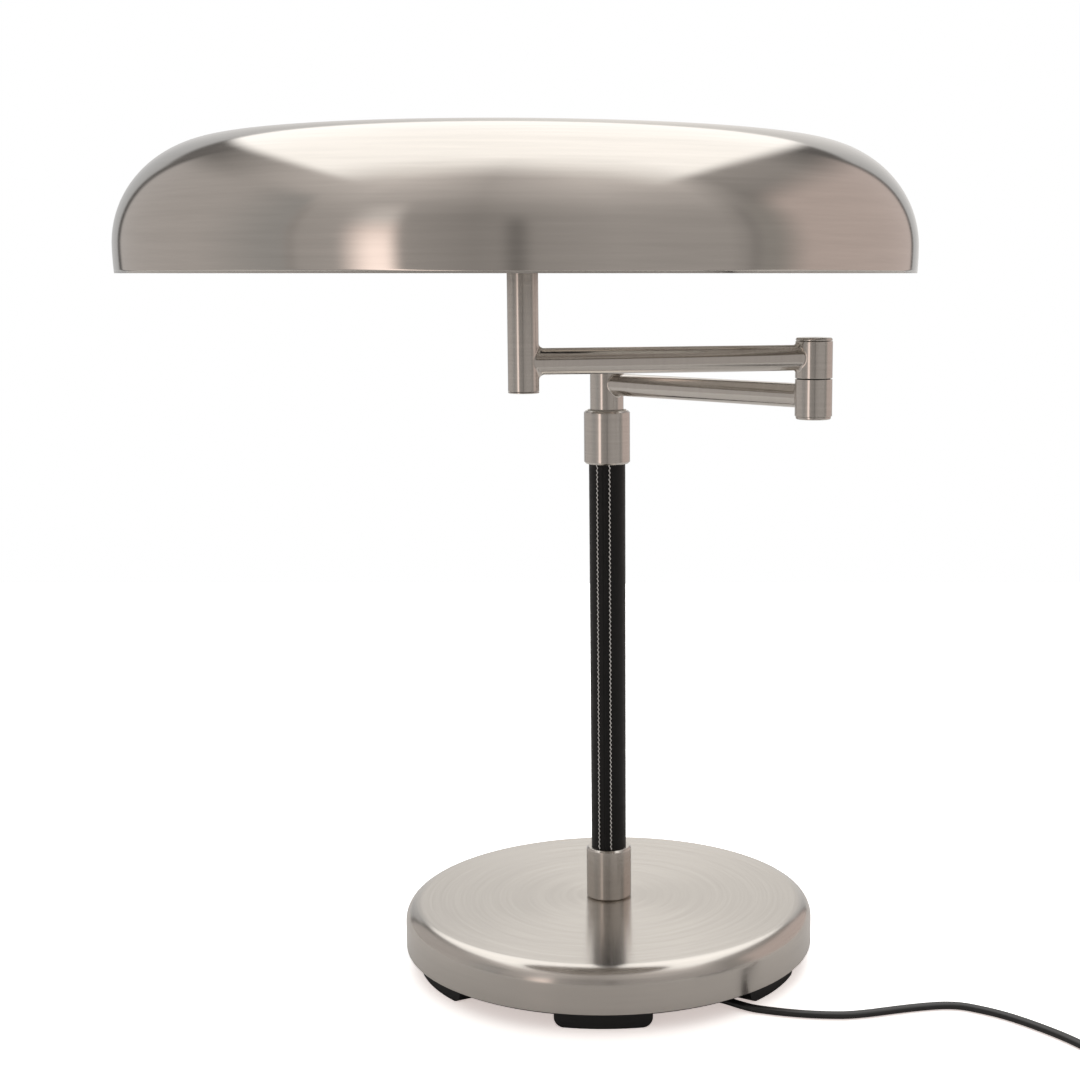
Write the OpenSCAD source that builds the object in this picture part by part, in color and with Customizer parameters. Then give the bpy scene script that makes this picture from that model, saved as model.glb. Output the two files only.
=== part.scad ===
// Dome shade desk lamp: a weighted round base, a leather covered stem, two swinging arms
// joined by a hollow elbow, and a wide spun shade over two bulbs.
// The origin is on the stem's axis at the level of the table, and +Z points up.

/* [Base] */
// Radius of the round base
base_r = 110; // [104:1:130]
// Height of the rubber pads that the lamp stands on
pad_h = 9; // [8.5:0.5:12]
// How far the bottom plate shows under the cover
plate_show = 1; // [0.5:0.1:1.5]
// Height of the base cover
cover_h = 23; // [21:0.5:30]
// Radius of the cover's rounded upper edge
cover_edge_r = 9; // [4:0.5:12]
// Sheet thickness of the base cover
cover_wall = 1.5; // [1:0.1:2]
// Thickness of the bottom plate
plate_t = 2; // [1.5:0.1:2.5]
// Radius of the cast weight
weight_r = 88; // [80:1:92]
// Radius of the pocket under the weight
pocket_r = 20; // [16:0.5:26]
// Depth of the pocket under the weight
pocket_h = 14; // [13:0.5:15]
// Width of the channel that brings the lead to the pocket
channel_w = 9; // [6:0.5:14]
// Number of rubber pads round the base
pad_count = 6; // [3:3:6]
// Radius of the pads' outer side
pad_out_r = 103; // [98:0.5:103]
// Width of each pad along the radius
pad_w = 19; // [12:0.5:22]
// Half the length of each pad along the rim
pad_half_l = 24.6; // [18:0.2:26]
// Radius of the pads' lower corners
pad_corner_r = 5; // [2:0.5:7]
// Radius of the circle of plate screws
screw_circle_r = 70; // [50:1:76]
// Shank radius of the plate screws
screw_r = 2; // [1.5:0.1:2.5]
// Depth that the plate screws reach into the weight
screw_bite = 7; // [5:0.5:12]

/* [Stem] */
// Outer radius of the stem tube
tube_r = 8; // [7.4:0.1:8.6]
// Wall of the stem tube
tube_wall = 1.5; // [1:0.1:1.6]
// Height of the two metal collars
collar_h = 28; // [20:1:40]
// Radius of the two metal collars
collar_r = 12.15; // [10.5:0.05:16]
// Bevel at the ends of the collars
collar_bevel = 1; // [0.4:0.1:1.5]
// Length of the leather sleeve
sleeve_l = 209; // [150:1:300]
// Radius of the leather sleeve at its foot
sleeve_foot_r = 9.3; // [9:0.1:10.2]
// Radius of the leather sleeve at its top
sleeve_top_r = 9.6; // [9:0.1:10.2]
// Thickness of the washer under the weight
washer_t = 1.6; // [1:0.1:2]
// Height of the nut that clamps the base to the stem
nut_h = 4; // [3:0.5:5]
// Width of that nut across its flats
nut_across = 22; // [19:0.5:24]

/* [Swivel] */
// Radius of the spigot that turns in the stem
spigot_r = 5.5; // [5:0.1:5.6]
// Wall of the spigot
spigot_wall = 1.9; // [1.3:0.1:2.2]
// Depth of the bush in the upper collar
bush_h = 14; // [8:0.5:18]
// Thickness of the bush's flange
bush_flange_t = 0.4; // [0.3:0.1:1]
// Radius of the post that carries the lower arm
swivel_post_r = 8.8; // [8:0.1:11]
// Bevel at the post's top
post_bevel = 0.8; // [0.3:0.1:1.5]
// Height of the lower arm's axis over the post's foot
lower_arm_rise = 13.35; // [10:0.05:20]
// Thickness of the clip that holds the spigot down
clip_t = 1; // [0.8:0.1:1.4]

/* [Arms] */
// Distance between the two axes of the lower arm
lower_arm_l = 140; // [110:1:180]
// Radius of the lower arm's tube
lower_arm_r = 5.8; // [5:0.05:6.5]
// Direction of the lower arm seen from above, in degrees
lower_arm_turn = -44.1; // [-60:0.1:-30]
// Distance between the two axes of the upper arm
upper_arm_l = 140; // [110:1:180]
// Radius of the upper arm's tube
upper_arm_r = 6; // [5:0.1:6.6]
// Angle between the two arms at the elbow, in degrees
elbow_angle = 61.7; // [40:0.1:120]
// Wall of both arm tubes
arm_wall = 1.2; // [0.8:0.1:1.5]
// Gap between the upper arm and the swivel post when it passes over
pass_gap = 2; // [1:0.1:2.6]
// Radius of the weld between the upper arm and the shade post
post_weld_r = 2.5; // [1:0.1:3]
// Radius of the weld between the upper arm and its knuckle
knuckle_weld_r = 1.6; // [0.8:0.1:2]
// Radius of the welds at both ends of the lower arm
lower_weld_r = 1.2; // [0.8:0.1:1.4]
// Bevel where a knuckle or the shade post meets the next piece
joint_bevel = 0.3; // [0.2:0.1:0.6]

/* [Elbow] */
// Radius of the two knuckles
knuckle_r = 8.85; // [8.6:0.05:11]
// Height of each knuckle with its cap
knuckle_h = 19; // [18.4:0.1:24]
// Height of the lower arm's axis over the foot of its knuckle
lower_knuckle_rise = 10.8; // [10.2:0.1:12]
// Height of the upper arm's axis over the foot of its knuckle
upper_knuckle_rise = 9.66; // [9.5:0.02:10.2]
// Gap between the two knuckles
knuckle_gap = 0.4; // [0.3:0.1:1]
// Thickness of the cap under the lower knuckle
foot_cap_t = 1.5; // [1:0.1:2]
// Thickness of the cap on the upper knuckle
top_cap_t = 1.6; // [1:0.1:2]
// Radius of the hollow pivot
pivot_r = 5; // [4.6:0.1:5.2]
// Wall of the hollow pivot
pivot_wall = 1.4; // [1:0.1:1.6]
// Thickness of the pivot's flange
pivot_flange_t = 1.8; // [1.2:0.1:2.5]
// Thickness of the upper knuckle's floor
knuckle_floor_t = 3; // [2.4:0.1:3.2]
// Height of the nut on the pivot
pivot_nut_h = 3; // [2:0.1:3]

/* [Shade] */
// Largest radius of the shade
shade_r = 174.25; // [150:0.25:200]
// Height of the shade's rim over the upper arm's axis
shade_lift = 39.2; // [36:0.1:50]
// Height of the widest line over the rim
skirt_h = 11.1; // [6:0.1:16]
// How far the skirt draws in at the rim
skirt_draw = 0.45; // [0:0.05:2]
// Width of the rounded shoulder
shoulder_w = 48.6; // [35:0.1:60]
// Height of the rounded shoulder
shoulder_h = 45.9; // [44:0.1:55]
// Slope where the crown meets the shoulder, in degrees
crown_slope = 3.9; // [2:0.1:6]
// Sheet thickness of the shade
shade_wall = 1; // [0.8:0.1:1.5]
// Radius of the rolled bead inside the rim
bead_r = 1.2; // [0.9:0.1:2]
// Radius of the post under the shade
shade_post_r = 7; // [6.8:0.1:8.5]
// Wall of the post under the shade
shade_post_wall = 1.2; // [1:0.1:1.4]
// How far the post reaches below the upper arm's axis
post_drop = 14; // [10:0.1:15]
// Thickness of the cap that closes the post's lower end
post_cap_t = 0.8; // [0.5:0.1:1.5]
// Radius of the disc welded under the crown
hub_r = 24; // [16:0.5:40]
// Thickness of the disc welded under the crown
hub_t = 3; // [2:0.1:4]

/* [Lampholders] */
// Height of the bulbs' axis over the rim
bulb_rise = 30.7; // [29:0.1:32]
// Radius of the cross tube that carries the lampholders
cross_r = 5; // [4:0.1:5.4]
// Wall of the cross tube
cross_wall = 1; // [0.8:0.1:1.4]
// Distance from the post's axis to each lampholder
holder_gap = 12; // [10:0.5:18]
// Outer radius of each lampholder
holder_r = 12.5; // [11:0.1:14]
// Length of each lampholder
holder_l = 34; // [30:0.5:38]
// Thickness of each lampholder's floor
holder_floor_t = 5; // [4:0.5:6]
// Radius of the bulbs' screw caps
bulb_cap_r = 6.7; // [6.6:0.1:7]
// Length of the bulbs' screw caps
bulb_cap_l = 24; // [20:0.5:26]
// Largest radius of the bulbs
bulb_r = 17.5; // [14:0.1:18.5]
// Length of each bulb's glass
bulb_glass_l = 76; // [60:1:80]

/* [Cord] */
// Width of the flat cord
cord_w = 5.4; // [5:0.1:5.6]
// Thickness of the flat cord
cord_t = 3.2; // [3:0.1:3.3]
// Length of the tapered strain relief
relief_l = 30; // [24:1:36]
// Radius of the strain relief at the base
relief_foot_r = 3.9; // [3.6:0.1:4.2]
// Radius of the strain relief at its tip
relief_tip_r = 3.3; // [3:0.1:3.5]
// Radius of the round lead inside the lamp
lead_r = 1.6; // [1.2:0.1:1.7]
// Smallest radius of the coil's turns
coil_in_r = 23.75; // [23:0.25:24.5]
// Distance between neighbouring turns of the coil
turn_pitch = 6; // [5.9:0.05:6.4]
// Height between the coil's layers
layer_pitch = 3.7; // [3.7:0.1:4.2]
// Thickness of the strap round the coil
tie_t = 0.8; // [0.6:0.1:0.9]
// Width of the strap round the coil
tie_w = 8; // [6:0.5:14]

/* [Switch] */
// Length of the switch in the cord
switch_l = 56; // [50:0.5:57]
// Width of the switch
switch_w = 25; // [22:0.5:28]
// Height of the switch
switch_h = 17; // [16:0.5:18]
// Height of the switch's lower half
switch_base_h = 10; // [9.5:0.1:10.5]
// Radius of the switch's corners seen from above
switch_corner_r = 8; // [4:0.5:10]
// Length of the rocker
rocker_l = 18; // [14:0.5:20]
// Width of the rocker
rocker_w = 12; // [9:0.5:14]
// How far the rocker tips each way, in degrees
rocker_tip = 8; // [5:0.5:10]
// Radius of the rocker's trunnions
trunnion_r = 1.5; // [1:0.1:1.8]

/* [Plug] */
// Width of the plug at its pins
plug_w = 26; // [24:0.5:28]
// Height of the plug
plug_h = 13.7; // [13.5:0.1:13.9]
// Length of the plug's body
plug_l = 24; // [20:0.5:28]
// Length of the plug's tapered sleeve
plug_sleeve_l = 13; // [8:0.5:14]
// Radius of each pin
pin_r = 2; // [1.9:0.05:2.4]
// Length of each pin outside the plug
pin_l = 19; // [17:0.5:20]
// Distance between the two pins
pin_spacing = 18.6; // [17:0.1:19]

/* [Hidden] */
// Radial clearance of a piece that is pressed, screwed or welded to its seat
seat_gap = 0.02;
// Radial clearance of a piece that turns in another
run_gap = 0.05;
// Gap between a weld's facets and the round metal under it
weld_gap = 0.04;
// Facets round a large and a small circle
round_fn = 120;
small_fn = 48;
// A little more than a cut needs, so that it leaves no skin
cut = 1;

// Base, from the table up
cover_z = pad_h + plate_show;
cover_top_z = cover_z + cover_h;
plate_top_z = pad_h + plate_t;
weight_top_z = cover_top_z - cover_wall;
pocket_top_z = plate_top_z + pocket_h;
tube_foot_z = pocket_top_z - washer_t - nut_h - 1;
lead_z = plate_top_z + 2.5;

// Stem and swivel
sleeve_z = cover_top_z + collar_h;
upper_collar_z = sleeve_z + sleeve_l;
stem_top_z = upper_collar_z + collar_h;
bush_z = stem_top_z - bush_h;
spigot_bore_r = spigot_r - spigot_wall;
clip_z = bush_z - run_gap - clip_t;
clip_groove_r = spigot_r - 0.6;
spigot_z = clip_z - 2;
post_foot_z = stem_top_z + bush_flange_t + run_gap;
lower_arm_z = post_foot_z + lower_arm_rise;

// Elbow
elbow_x = lower_arm_l * cos(lower_arm_turn);
elbow_y = lower_arm_l * sin(lower_arm_turn);
lower_knuckle_z = lower_arm_z - lower_knuckle_rise;
lower_knuckle_top_z = lower_knuckle_z + knuckle_h;
upper_knuckle_z = lower_knuckle_top_z + knuckle_gap;
upper_arm_z = upper_knuckle_z + upper_knuckle_rise;
upper_knuckle_top_z = upper_knuckle_z + knuckle_h - top_cap_t;
pivot_bore_r = pivot_r - pivot_wall;
pivot_flange_r = pivot_r + 2;
chamber_r = knuckle_r - 1.85;
washer_z = upper_knuckle_z + knuckle_floor_t + run_gap;
spring_washer_t = 0.5;
pivot_nut_z = washer_z + spring_washer_t;
pivot_top_z = pivot_nut_z + pivot_nut_h + 0.4;
lead_bend_r = 4;
lead_meet_z = upper_arm_z - lead_bend_r - 2;

// Arms and shade post
lower_bore_r = lower_arm_r - arm_wall;
upper_bore_r = upper_arm_r - arm_wall;
swivel_post_top_z = upper_arm_z - upper_arm_r - pass_gap;
upper_arm_turn = lower_arm_turn + 180 + elbow_angle;
shade_x = elbow_x + upper_arm_l * cos(upper_arm_turn);
shade_y = elbow_y + upper_arm_l * sin(upper_arm_turn);
shade_post_bore_r = shade_post_r - shade_post_wall;
shade_post_z = upper_arm_z - post_drop + post_cap_t;

// Shade: a skirt, a quarter ellipse for the shoulder, and a shallow parabola for the crown,
// which meets the ellipse at the same slope
rim_z = upper_arm_z + shade_lift;
widest_z = rim_z + skirt_h;
shoulder_x = shade_r - shoulder_w;
join_turn = atan(shoulder_w / shoulder_h * tan(crown_slope));
crown_r = shoulder_x + shoulder_w * sin(join_turn);
crown_h = crown_r * tan(crown_slope) / 2;
crown_z = widest_z + shoulder_h * cos(join_turn);
crown_top_z = crown_z + crown_h;
hub_top_z = crown_top_z - crown_h * pow(hub_r / crown_r, 2) - shade_wall - seat_gap;
hub_z = hub_top_z - hub_t;
bulb_z = rim_z + bulb_rise;
cross_half_l = holder_gap + holder_floor_t - 2;

// Free cord on the table, from the strain relief's tip to the switch: chosen points
lead_route = [
    [51, -73, 4.6], [56.5, -75, 4.6], [62, -77, 4], [68, -79, 2.8], [75, -81.5, 1.9],
    [83, -84, 1.7], [92, -86.5, 1.7], [102, -88.5, 1.7], [112, -89.5, 1.7],
    [122, -89.5, 1.7], [132, -87.5, 1.7], [142, -84.5, 1.7], [152, -81.5, 1.7],
    [162, -79, 1.7], [172, -77.5, 1.7], [181, -78.5, 1.7], [190, -83, 1.7],
    [199, -89, 1.7], [207.5, -96.5, 1.7], [216, -105.5, 1.7], [224, -115, 1.7],
    [231, -125, 1.7], [237, -135, 1.7], [241.5, -144, 2.2], [244.5, -153, 4],
    [246, -161, 6.2], [246, -166, 7], [246, -171, 7]
];
// From the switch to the coil
link_route = [
    [246, -227, 7], [246, -232, 7], [246, -238, 6], [246, -244, 4],
    [246, -250, 2.8], [246, -253, 2.6], [246, -256, 2.6]
];
// From the coil to the plug
tail_route = [
    [316, -256, 13.7], [316, -250, 13.7], [316, -243, 12.8], [316, -235, 11],
    [316, -227, 9], [316, -220, 7.5], [316, -216, 6.9], [316, -211, 6.9]
];
// Centre of the coil
coil_x = 281;
coil_y = -262;
// Turns of the coil, laid in four layers
coil_turns = 7.5;
layer_count = 4;
layer_turns = coil_turns / layer_count;
rings_per_turn = 24;
// Length of straight cord before the first turn and after the last
coil_lead_in = 6;
coil_out_r = coil_in_r + turn_pitch * layer_turns;
coil_z = link_route[len(link_route) - 1][2];
coil_end_z = coil_z + (layer_count - 1) * layer_pitch;

// Strain relief and gland, in line with the first stretch of the cord
relief_way = unit(lead_route[1] - lead_route[0]);
gland_l = 10;
gland_w = 12;
gland_z = 0.8;
gland_spot = lead_route[0] - (relief_l + gland_l / 2) * relief_way;
gland_turn = atan2(gland_spot[1], gland_spot[0]);

// Switch and plug
switch_x = link_route[0][0];
switch_y = (lead_route[len(lead_route) - 1][1] + link_route[0][1]) / 2;
rocker_z = switch_h - 4.5;
plug_y = tail_route[len(tail_route) - 1][1];
plug_x = tail_route[0][0];
plug_z = plug_h / 2;
plug_face_y = plug_y + plug_sleeve_l + plug_l;
pin_root_l = 8;
pin_root_r = pin_r - 0.4;

function unit(v) = v / norm(v);

// Direction of a path at point i
function path_way(path, i) =
    unit(path[min(i + 1, len(path) - 1)] - path[max(i - 1, 0)]);

// One ring of a tube: an oval square to the path, its width along "side" or level
function tube_ring(path, i, half_w, half_t, sides, side) =
    let (
        way = path_way(path, i),
        across = is_undef(side) ? unit(cross(way, [0, 0, 1])) : side,
        over = cross(across, way)
    )
    [for (k = [0 : sides - 1])
        let (a = 360 * (k + 0.5) / sides)
        path[i] + half_w * cos(a) * across + half_t * sin(a) * over];

// A tube swept along a path, closed by a flat face at each end
module swept_tube(path, half_w, half_t, sides, side) {
    rings = len(path);
    points = [for (i = [0 : rings - 1]) each tube_ring(path, i, half_w, half_t, sides, side)];
    walls = [for (i = [0 : rings - 2], k = [0 : sides - 1])
        let (a = i * sides + k, b = i * sides + (k + 1) % sides)
        each [[a, a + sides, b + sides], [a, b + sides, b]]];
    first = [for (k = [0 : sides - 1]) k];
    last = [for (k = [sides - 1 : -1 : 0]) (rings - 1) * sides + k];
    polyhedron(points = points, faces = concat(walls, [first, last]), convexity = 10);
}

// A path through corners, each rounded to radius r by a few steps
function rounded_path(corners, r, steps = 5) = [
    corners[0],
    for (i = [1 : len(corners) - 2])
        let (
            back = unit(corners[i - 1] - corners[i]),
            ahead = unit(corners[i + 1] - corners[i]),
            half = acos(back * ahead) / 2,
            centre = corners[i] + r / sin(half) * unit(back + ahead),
            from = corners[i] + r / tan(half) * back - centre,
            to = corners[i] + r / tan(half) * ahead - centre,
            sweep = acos(from * to / (r * r))
        )
        for (s = [0 : steps])
            centre + (sin(sweep * (1 - s / steps)) * from + sin(sweep * s / steps) * to)
                / sin(sweep),
    corners[len(corners) - 1]
];

// A round lead in an upright plane that lies along direction turn
module inner_lead(corners, turn) {
    color("white")
    swept_tube(rounded_path(corners, lead_bend_r), lead_r, lead_r, 8,
        [sin(turn), -cos(turn), 0]);
}

module ring(r_out, r_in, z, h) {
    translate([0, 0, z])
    difference() {
        cylinder(r = r_out, h = h, $fn = small_fn);
        translate([0, 0, -cut]) cylinder(r = r_in, h = h + 2 * cut, $fn = small_fn);
    }
}

// A ring whose two outer edges are bevelled
module bevelled_ring(r_out, r_in, z, h, bevel) {
    rotate_extrude($fn = round_fn)
    polygon([
        [r_in, z], [r_out - bevel, z], [r_out, z + bevel],
        [r_out, z + h - bevel], [r_out - bevel, z + h], [r_in, z + h]
    ]);
}

// Half section of a disc whose upper edge is rounded
module disc_section(r, z, top_z, edge_r) {
    translate([0, z]) square([r, top_z - z - edge_r]);
    translate([0, z]) square([r - edge_r, top_z - z]);
    translate([r - edge_r, top_z - edge_r]) circle(r = edge_r, $fn = small_fn);
}

module rounded_square(w, h, r) {
    translate([-w / 2 + r, -h / 2]) square([w - 2 * r, h]);
    translate([-w / 2, -h / 2 + r]) square([w, h - 2 * r]);
    for (x = [-1, 1], y = [-1, 1])
        translate([x * (w / 2 - r), y * (h / 2 - r)]) circle(r = r, $fn = small_fn);
}

// ---- Base ----

module base_cover() {
    color("silver")
    rotate_extrude($fn = round_fn)
    difference() {
        disc_section(base_r, cover_z, cover_top_z, cover_edge_r);
        disc_section(base_r - cover_wall, cover_z - cut, weight_top_z, cover_edge_r - cover_wall);
        translate([0, cover_z]) square([tube_r + seat_gap, cover_h + cut]);
    }
}

module weight_screw_holes() {
    for (turn = [90, 210, 330])
        rotate(turn) translate([screw_circle_r, 0, plate_top_z - cut])
            cylinder(r = screw_r + seat_gap, h = screw_bite + cut, $fn = small_fn);
}

module base_weight() {
    color("dimgray")
    difference() {
        translate([0, 0, plate_top_z])
            cylinder(r = weight_r, h = weight_top_z - plate_top_z, $fn = round_fn);
        translate([0, 0, plate_top_z - cut])
            cylinder(r = pocket_r, h = pocket_h + cut, $fn = small_fn);
        translate([0, 0, plate_top_z])
            cylinder(r = tube_r + seat_gap, h = cover_h, $fn = small_fn);
        rotate(gland_turn) translate([0, -channel_w / 2, plate_top_z - cut])
            cube([norm([gland_spot[0], gland_spot[1]]) + channel_w / 2, channel_w, 5 + cut]);
        weight_screw_holes();
    }
}

module bottom_plate() {
    color([0.08, 0.08, 0.08])
    difference() {
        translate([0, 0, pad_h])
            cylinder(r = base_r - cover_wall - 0.2, h = plate_t, $fn = round_fn);
        translate([gland_spot[0], gland_spot[1], pad_h - cut])
            cylinder(r = lead_r + 1, h = plate_t + 2 * cut, $fn = small_fn);
        for (turn = [90, 210, 330])
            rotate(turn) translate([screw_circle_r, 0, pad_h - cut])
                cylinder(r = screw_r + 0.2, h = plate_t + 2 * cut, $fn = small_fn);
    }
}

// Seen along the radius a pad is a bar with rounded lower corners
module foot_pads() {
    color([0.06, 0.06, 0.06])
    for (i = [0 : pad_count - 1])
        rotate(-90 + i * 360 / pad_count)
        intersection() {
            rotate_extrude($fn = round_fn)
                translate([pad_out_r - pad_w, 0]) square([pad_w, pad_h]);
            rotate([90, 0, 90])
            linear_extrude(pad_out_r + cut) {
                translate([-pad_half_l, pad_corner_r])
                    square([2 * pad_half_l, pad_h - pad_corner_r]);
                translate([-pad_half_l + pad_corner_r, 0])
                    square([2 * (pad_half_l - pad_corner_r), pad_h]);
                for (side = [-1, 1])
                    translate([side * (pad_half_l - pad_corner_r), pad_corner_r])
                        circle(r = pad_corner_r, $fn = small_fn);
            }
        }
}

module plate_screws() {
    head_r = 1.9 * screw_r;
    color("gray")
    for (turn = [90, 210, 330])
        rotate(turn) translate([screw_circle_r, 0, 0]) {
            translate([0, 0, pad_h]) cylinder(r = screw_r, h = plate_t + screw_bite, $fn = small_fn);
            translate([0, 0, pad_h - screw_r]) cylinder(r1 = 0.75 * head_r, r2 = head_r,
                h = screw_r, $fn = small_fn);
        }
}

// ---- Stem ----

module stem_tube() {
    color("gainsboro")
    ring(tube_r, tube_r - tube_wall, tube_foot_z, bush_z - tube_foot_z);
}

module stem_washer() {
    color("gainsboro")
    ring(nut_across / 2 + 2, tube_r + seat_gap, pocket_top_z - washer_t, washer_t);
}

module stem_nut() {
    color("goldenrod")
    translate([0, 0, pocket_top_z - washer_t - nut_h])
    difference() {
        cylinder(r = nut_across / 2 / cos(30), h = nut_h, $fn = 6);
        translate([0, 0, -cut]) cylinder(r = tube_r + seat_gap, h = nut_h + 2 * cut, $fn = small_fn);
    }
}

module leather_sleeve() {
    color([0.13, 0.12, 0.12])
    rotate_extrude($fn = round_fn)
    polygon([
        [tube_r + seat_gap, sleeve_z], [sleeve_foot_r, sleeve_z],
        [sleeve_top_r, upper_collar_z], [tube_r + seat_gap, upper_collar_z]
    ]);
}

module collar(z) {
    color("silver")
    rotate_extrude($fn = round_fn)
    polygon([
        [tube_r + seat_gap, z], [collar_r - collar_bevel, z], [collar_r, z + collar_bevel],
        [collar_r, z + collar_h - collar_bevel], [collar_r - collar_bevel, z + collar_h],
        [tube_r + seat_gap, z + collar_h]
    ]);
}

module lower_collar() {
    collar(cover_top_z);
}

module upper_collar() {
    collar(upper_collar_z);
}

module swivel_bush() {
    bore_r = spigot_r + run_gap;
    color("beige")
    rotate_extrude($fn = small_fn)
    polygon([
        [bore_r, bush_z], [tube_r, bush_z], [tube_r, stem_top_z],
        [collar_r - collar_bevel - 1, stem_top_z],
        [collar_r - collar_bevel - 1, stem_top_z + bush_flange_t],
        [bore_r, stem_top_z + bush_flange_t]
    ]);
}

module stem_lead() {
    inner_lead([
        [gland_spot[0], gland_spot[1], pad_h], [gland_spot[0], gland_spot[1], lead_z],
        [0, 0, lead_z], [0, 0, spigot_z]
    ], gland_turn);
}

// ---- Lower arm ----

module swivel_post() {
    color("silver")
    difference() {
        rotate_extrude($fn = round_fn)
        polygon([
            [spigot_bore_r, spigot_z], [spigot_r, spigot_z], [spigot_r, clip_z - run_gap],
            [clip_groove_r, clip_z - run_gap], [clip_groove_r, clip_z + clip_t + run_gap],
            [spigot_r, clip_z + clip_t + run_gap], [spigot_r, post_foot_z],
            [swivel_post_r, post_foot_z], [swivel_post_r, swivel_post_top_z - post_bevel],
            [swivel_post_r - post_bevel, swivel_post_top_z], [0, swivel_post_top_z],
            [0, lower_arm_z + lead_r + 1.4], [spigot_bore_r, lower_arm_z + lead_r + 1.4]
        ]);
        rotate(lower_arm_turn) translate([0, 0, lower_arm_z]) rotate([0, 90, 0])
            cylinder(r = lower_bore_r, h = swivel_post_r + cut, $fn = small_fn);
    }
}

// An open ring that snaps into the spigot's groove under the bush
module swivel_clip() {
    clip_r = tube_r - tube_wall - 0.2;
    color("dimgray")
    difference() {
        ring(clip_r, clip_groove_r + seat_gap, clip_z, clip_t);
        translate([0, -1.5, clip_z - cut]) cube([clip_r + cut, 3, clip_t + 2 * cut]);
    }
}

// Tube between two upright posts: its ends are cut to their round sides
module arm_tube(length, r, bore_r, start_post_r, end_post_r) {
    difference() {
        rotate([0, 90, 0]) cylinder(r = r, h = length, $fn = small_fn);
        rotate([0, 90, 0]) translate([0, 0, -cut])
            cylinder(r = bore_r, h = length + 2 * cut, $fn = small_fn);
        for (post = [[0, start_post_r], [length, end_post_r]])
            translate([post[0], 0, 0])
                cylinder(r = post[1] + seat_gap, h = 6 * r, center = true, $fn = round_fn);
    }
}

// Concave weld round a level tube of radius a where it meets an upright post of radius b:
// the surface left by a ball of radius f that rolls in the corner between the two
module weld_fillet(a, b, f) {
    turns = 48;
    steps = 5;
    tube_r = a + weld_gap;
    post_r = b + weld_gap;
    section = [for (i = [0 : turns - 1])
        let (
            phi = 360 * i / turns,
            y = (a + f) * cos(phi),
            x = sqrt(pow(b + f, 2) - y * y),
            ball = [x, y, (a + f) * sin(phi)],
            to_tube = -[0, cos(phi), sin(phi)],
            to_post = -[x, y, 0] / (b + f),
            sweep = acos(to_tube * to_post),
            corner_y = tube_r * cos(phi)
        )
        [
            for (s = [0 : steps])
                ball + (f - weld_gap) * (sin(sweep * (1 - s / steps)) * to_tube
                    + sin(sweep * s / steps) * to_post) / sin(sweep),
            [sqrt(post_r * post_r - corner_y * corner_y), corner_y, tube_r * sin(phi)]
        ]];
    n = steps + 2;
    points = [for (part = section) each part];
    faces = [for (i = [0 : turns - 1], k = [0 : n - 1])
        let (
            p = i * n + k, q = i * n + (k + 1) % n,
            r = ((i + 1) % turns) * n + k, s = ((i + 1) % turns) * n + (k + 1) % n
        )
        each [[p, s, q], [p, r, s]]];
    polyhedron(points = points, faces = faces, convexity = 6);
}

module lower_arm_tube() {
    color("silver")
    translate([0, 0, lower_arm_z]) rotate(lower_arm_turn)
        arm_tube(lower_arm_l, lower_arm_r, lower_bore_r, swivel_post_r, knuckle_r);
}

module lower_arm_welds() {
    color("silver")
    translate([0, 0, lower_arm_z]) rotate(lower_arm_turn) {
        weld_fillet(lower_arm_r, swivel_post_r, lower_weld_r);
        translate([lower_arm_l, 0, 0]) rotate(180)
            weld_fillet(lower_arm_r, knuckle_r, lower_weld_r);
    }
}

module lower_knuckle() {
    body_z = lower_knuckle_z + foot_cap_t;
    color("silver")
    translate([elbow_x, elbow_y, 0])
    difference() {
        bevelled_ring(knuckle_r, pivot_r + seat_gap, body_z, lower_knuckle_top_z - body_z,
            joint_bevel);
        translate([0, 0, body_z - cut])
            cylinder(r = pivot_flange_r + seat_gap, h = pivot_flange_t + cut, $fn = small_fn);
        rotate(lower_arm_turn + 180) translate([0, 0, lower_arm_z]) rotate([0, 90, 0])
            cylinder(r = lower_bore_r, h = knuckle_r + cut, $fn = small_fn);
    }
}

module knuckle_foot_cap() {
    edge_r = 0.45 * foot_cap_t;
    color("silver")
    translate([elbow_x, elbow_y, 2 * lower_knuckle_z + foot_cap_t]) mirror([0, 0, 1])
    rotate_extrude($fn = round_fn)
        disc_section(knuckle_r - 0.5, lower_knuckle_z, lower_knuckle_z + foot_cap_t, edge_r);
}

// Hollow bolt that the leads pass through: its flange sits in the lower knuckle
module elbow_pivot() {
    foot_z = lower_knuckle_z + foot_cap_t;
    color("goldenrod")
    translate([elbow_x, elbow_y, 0])
    difference() {
        union() {
            translate([0, 0, foot_z])
                cylinder(r = pivot_flange_r, h = pivot_flange_t, $fn = small_fn);
            translate([0, 0, foot_z]) cylinder(r = pivot_r, h = pivot_top_z - foot_z, $fn = small_fn);
        }
        translate([0, 0, foot_z - cut])
            cylinder(r = pivot_bore_r, h = pivot_top_z - foot_z + 2 * cut, $fn = small_fn);
        rotate(lower_arm_turn + 180) translate([0, 0, lower_arm_z]) rotate([0, 90, 0])
            cylinder(r = lead_r + 1.4, h = pivot_flange_r, $fn = small_fn);
    }
}

module spring_washer() {
    color("dimgray")
    translate([elbow_x, elbow_y, 0])
        ring(pivot_r + 1.6, pivot_r + seat_gap, washer_z, spring_washer_t);
}

module pivot_nut() {
    color("goldenrod")
    translate([elbow_x, elbow_y, 0])
        ring(pivot_r + 1.4, pivot_r + seat_gap, pivot_nut_z, pivot_nut_h);
}

module lower_arm_lead() {
    inner_lead([
        [0, 0, spigot_z], [0, 0, lower_arm_z], [elbow_x, elbow_y, lower_arm_z],
        [elbow_x, elbow_y, lead_meet_z]
    ], lower_arm_turn);
}

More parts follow.
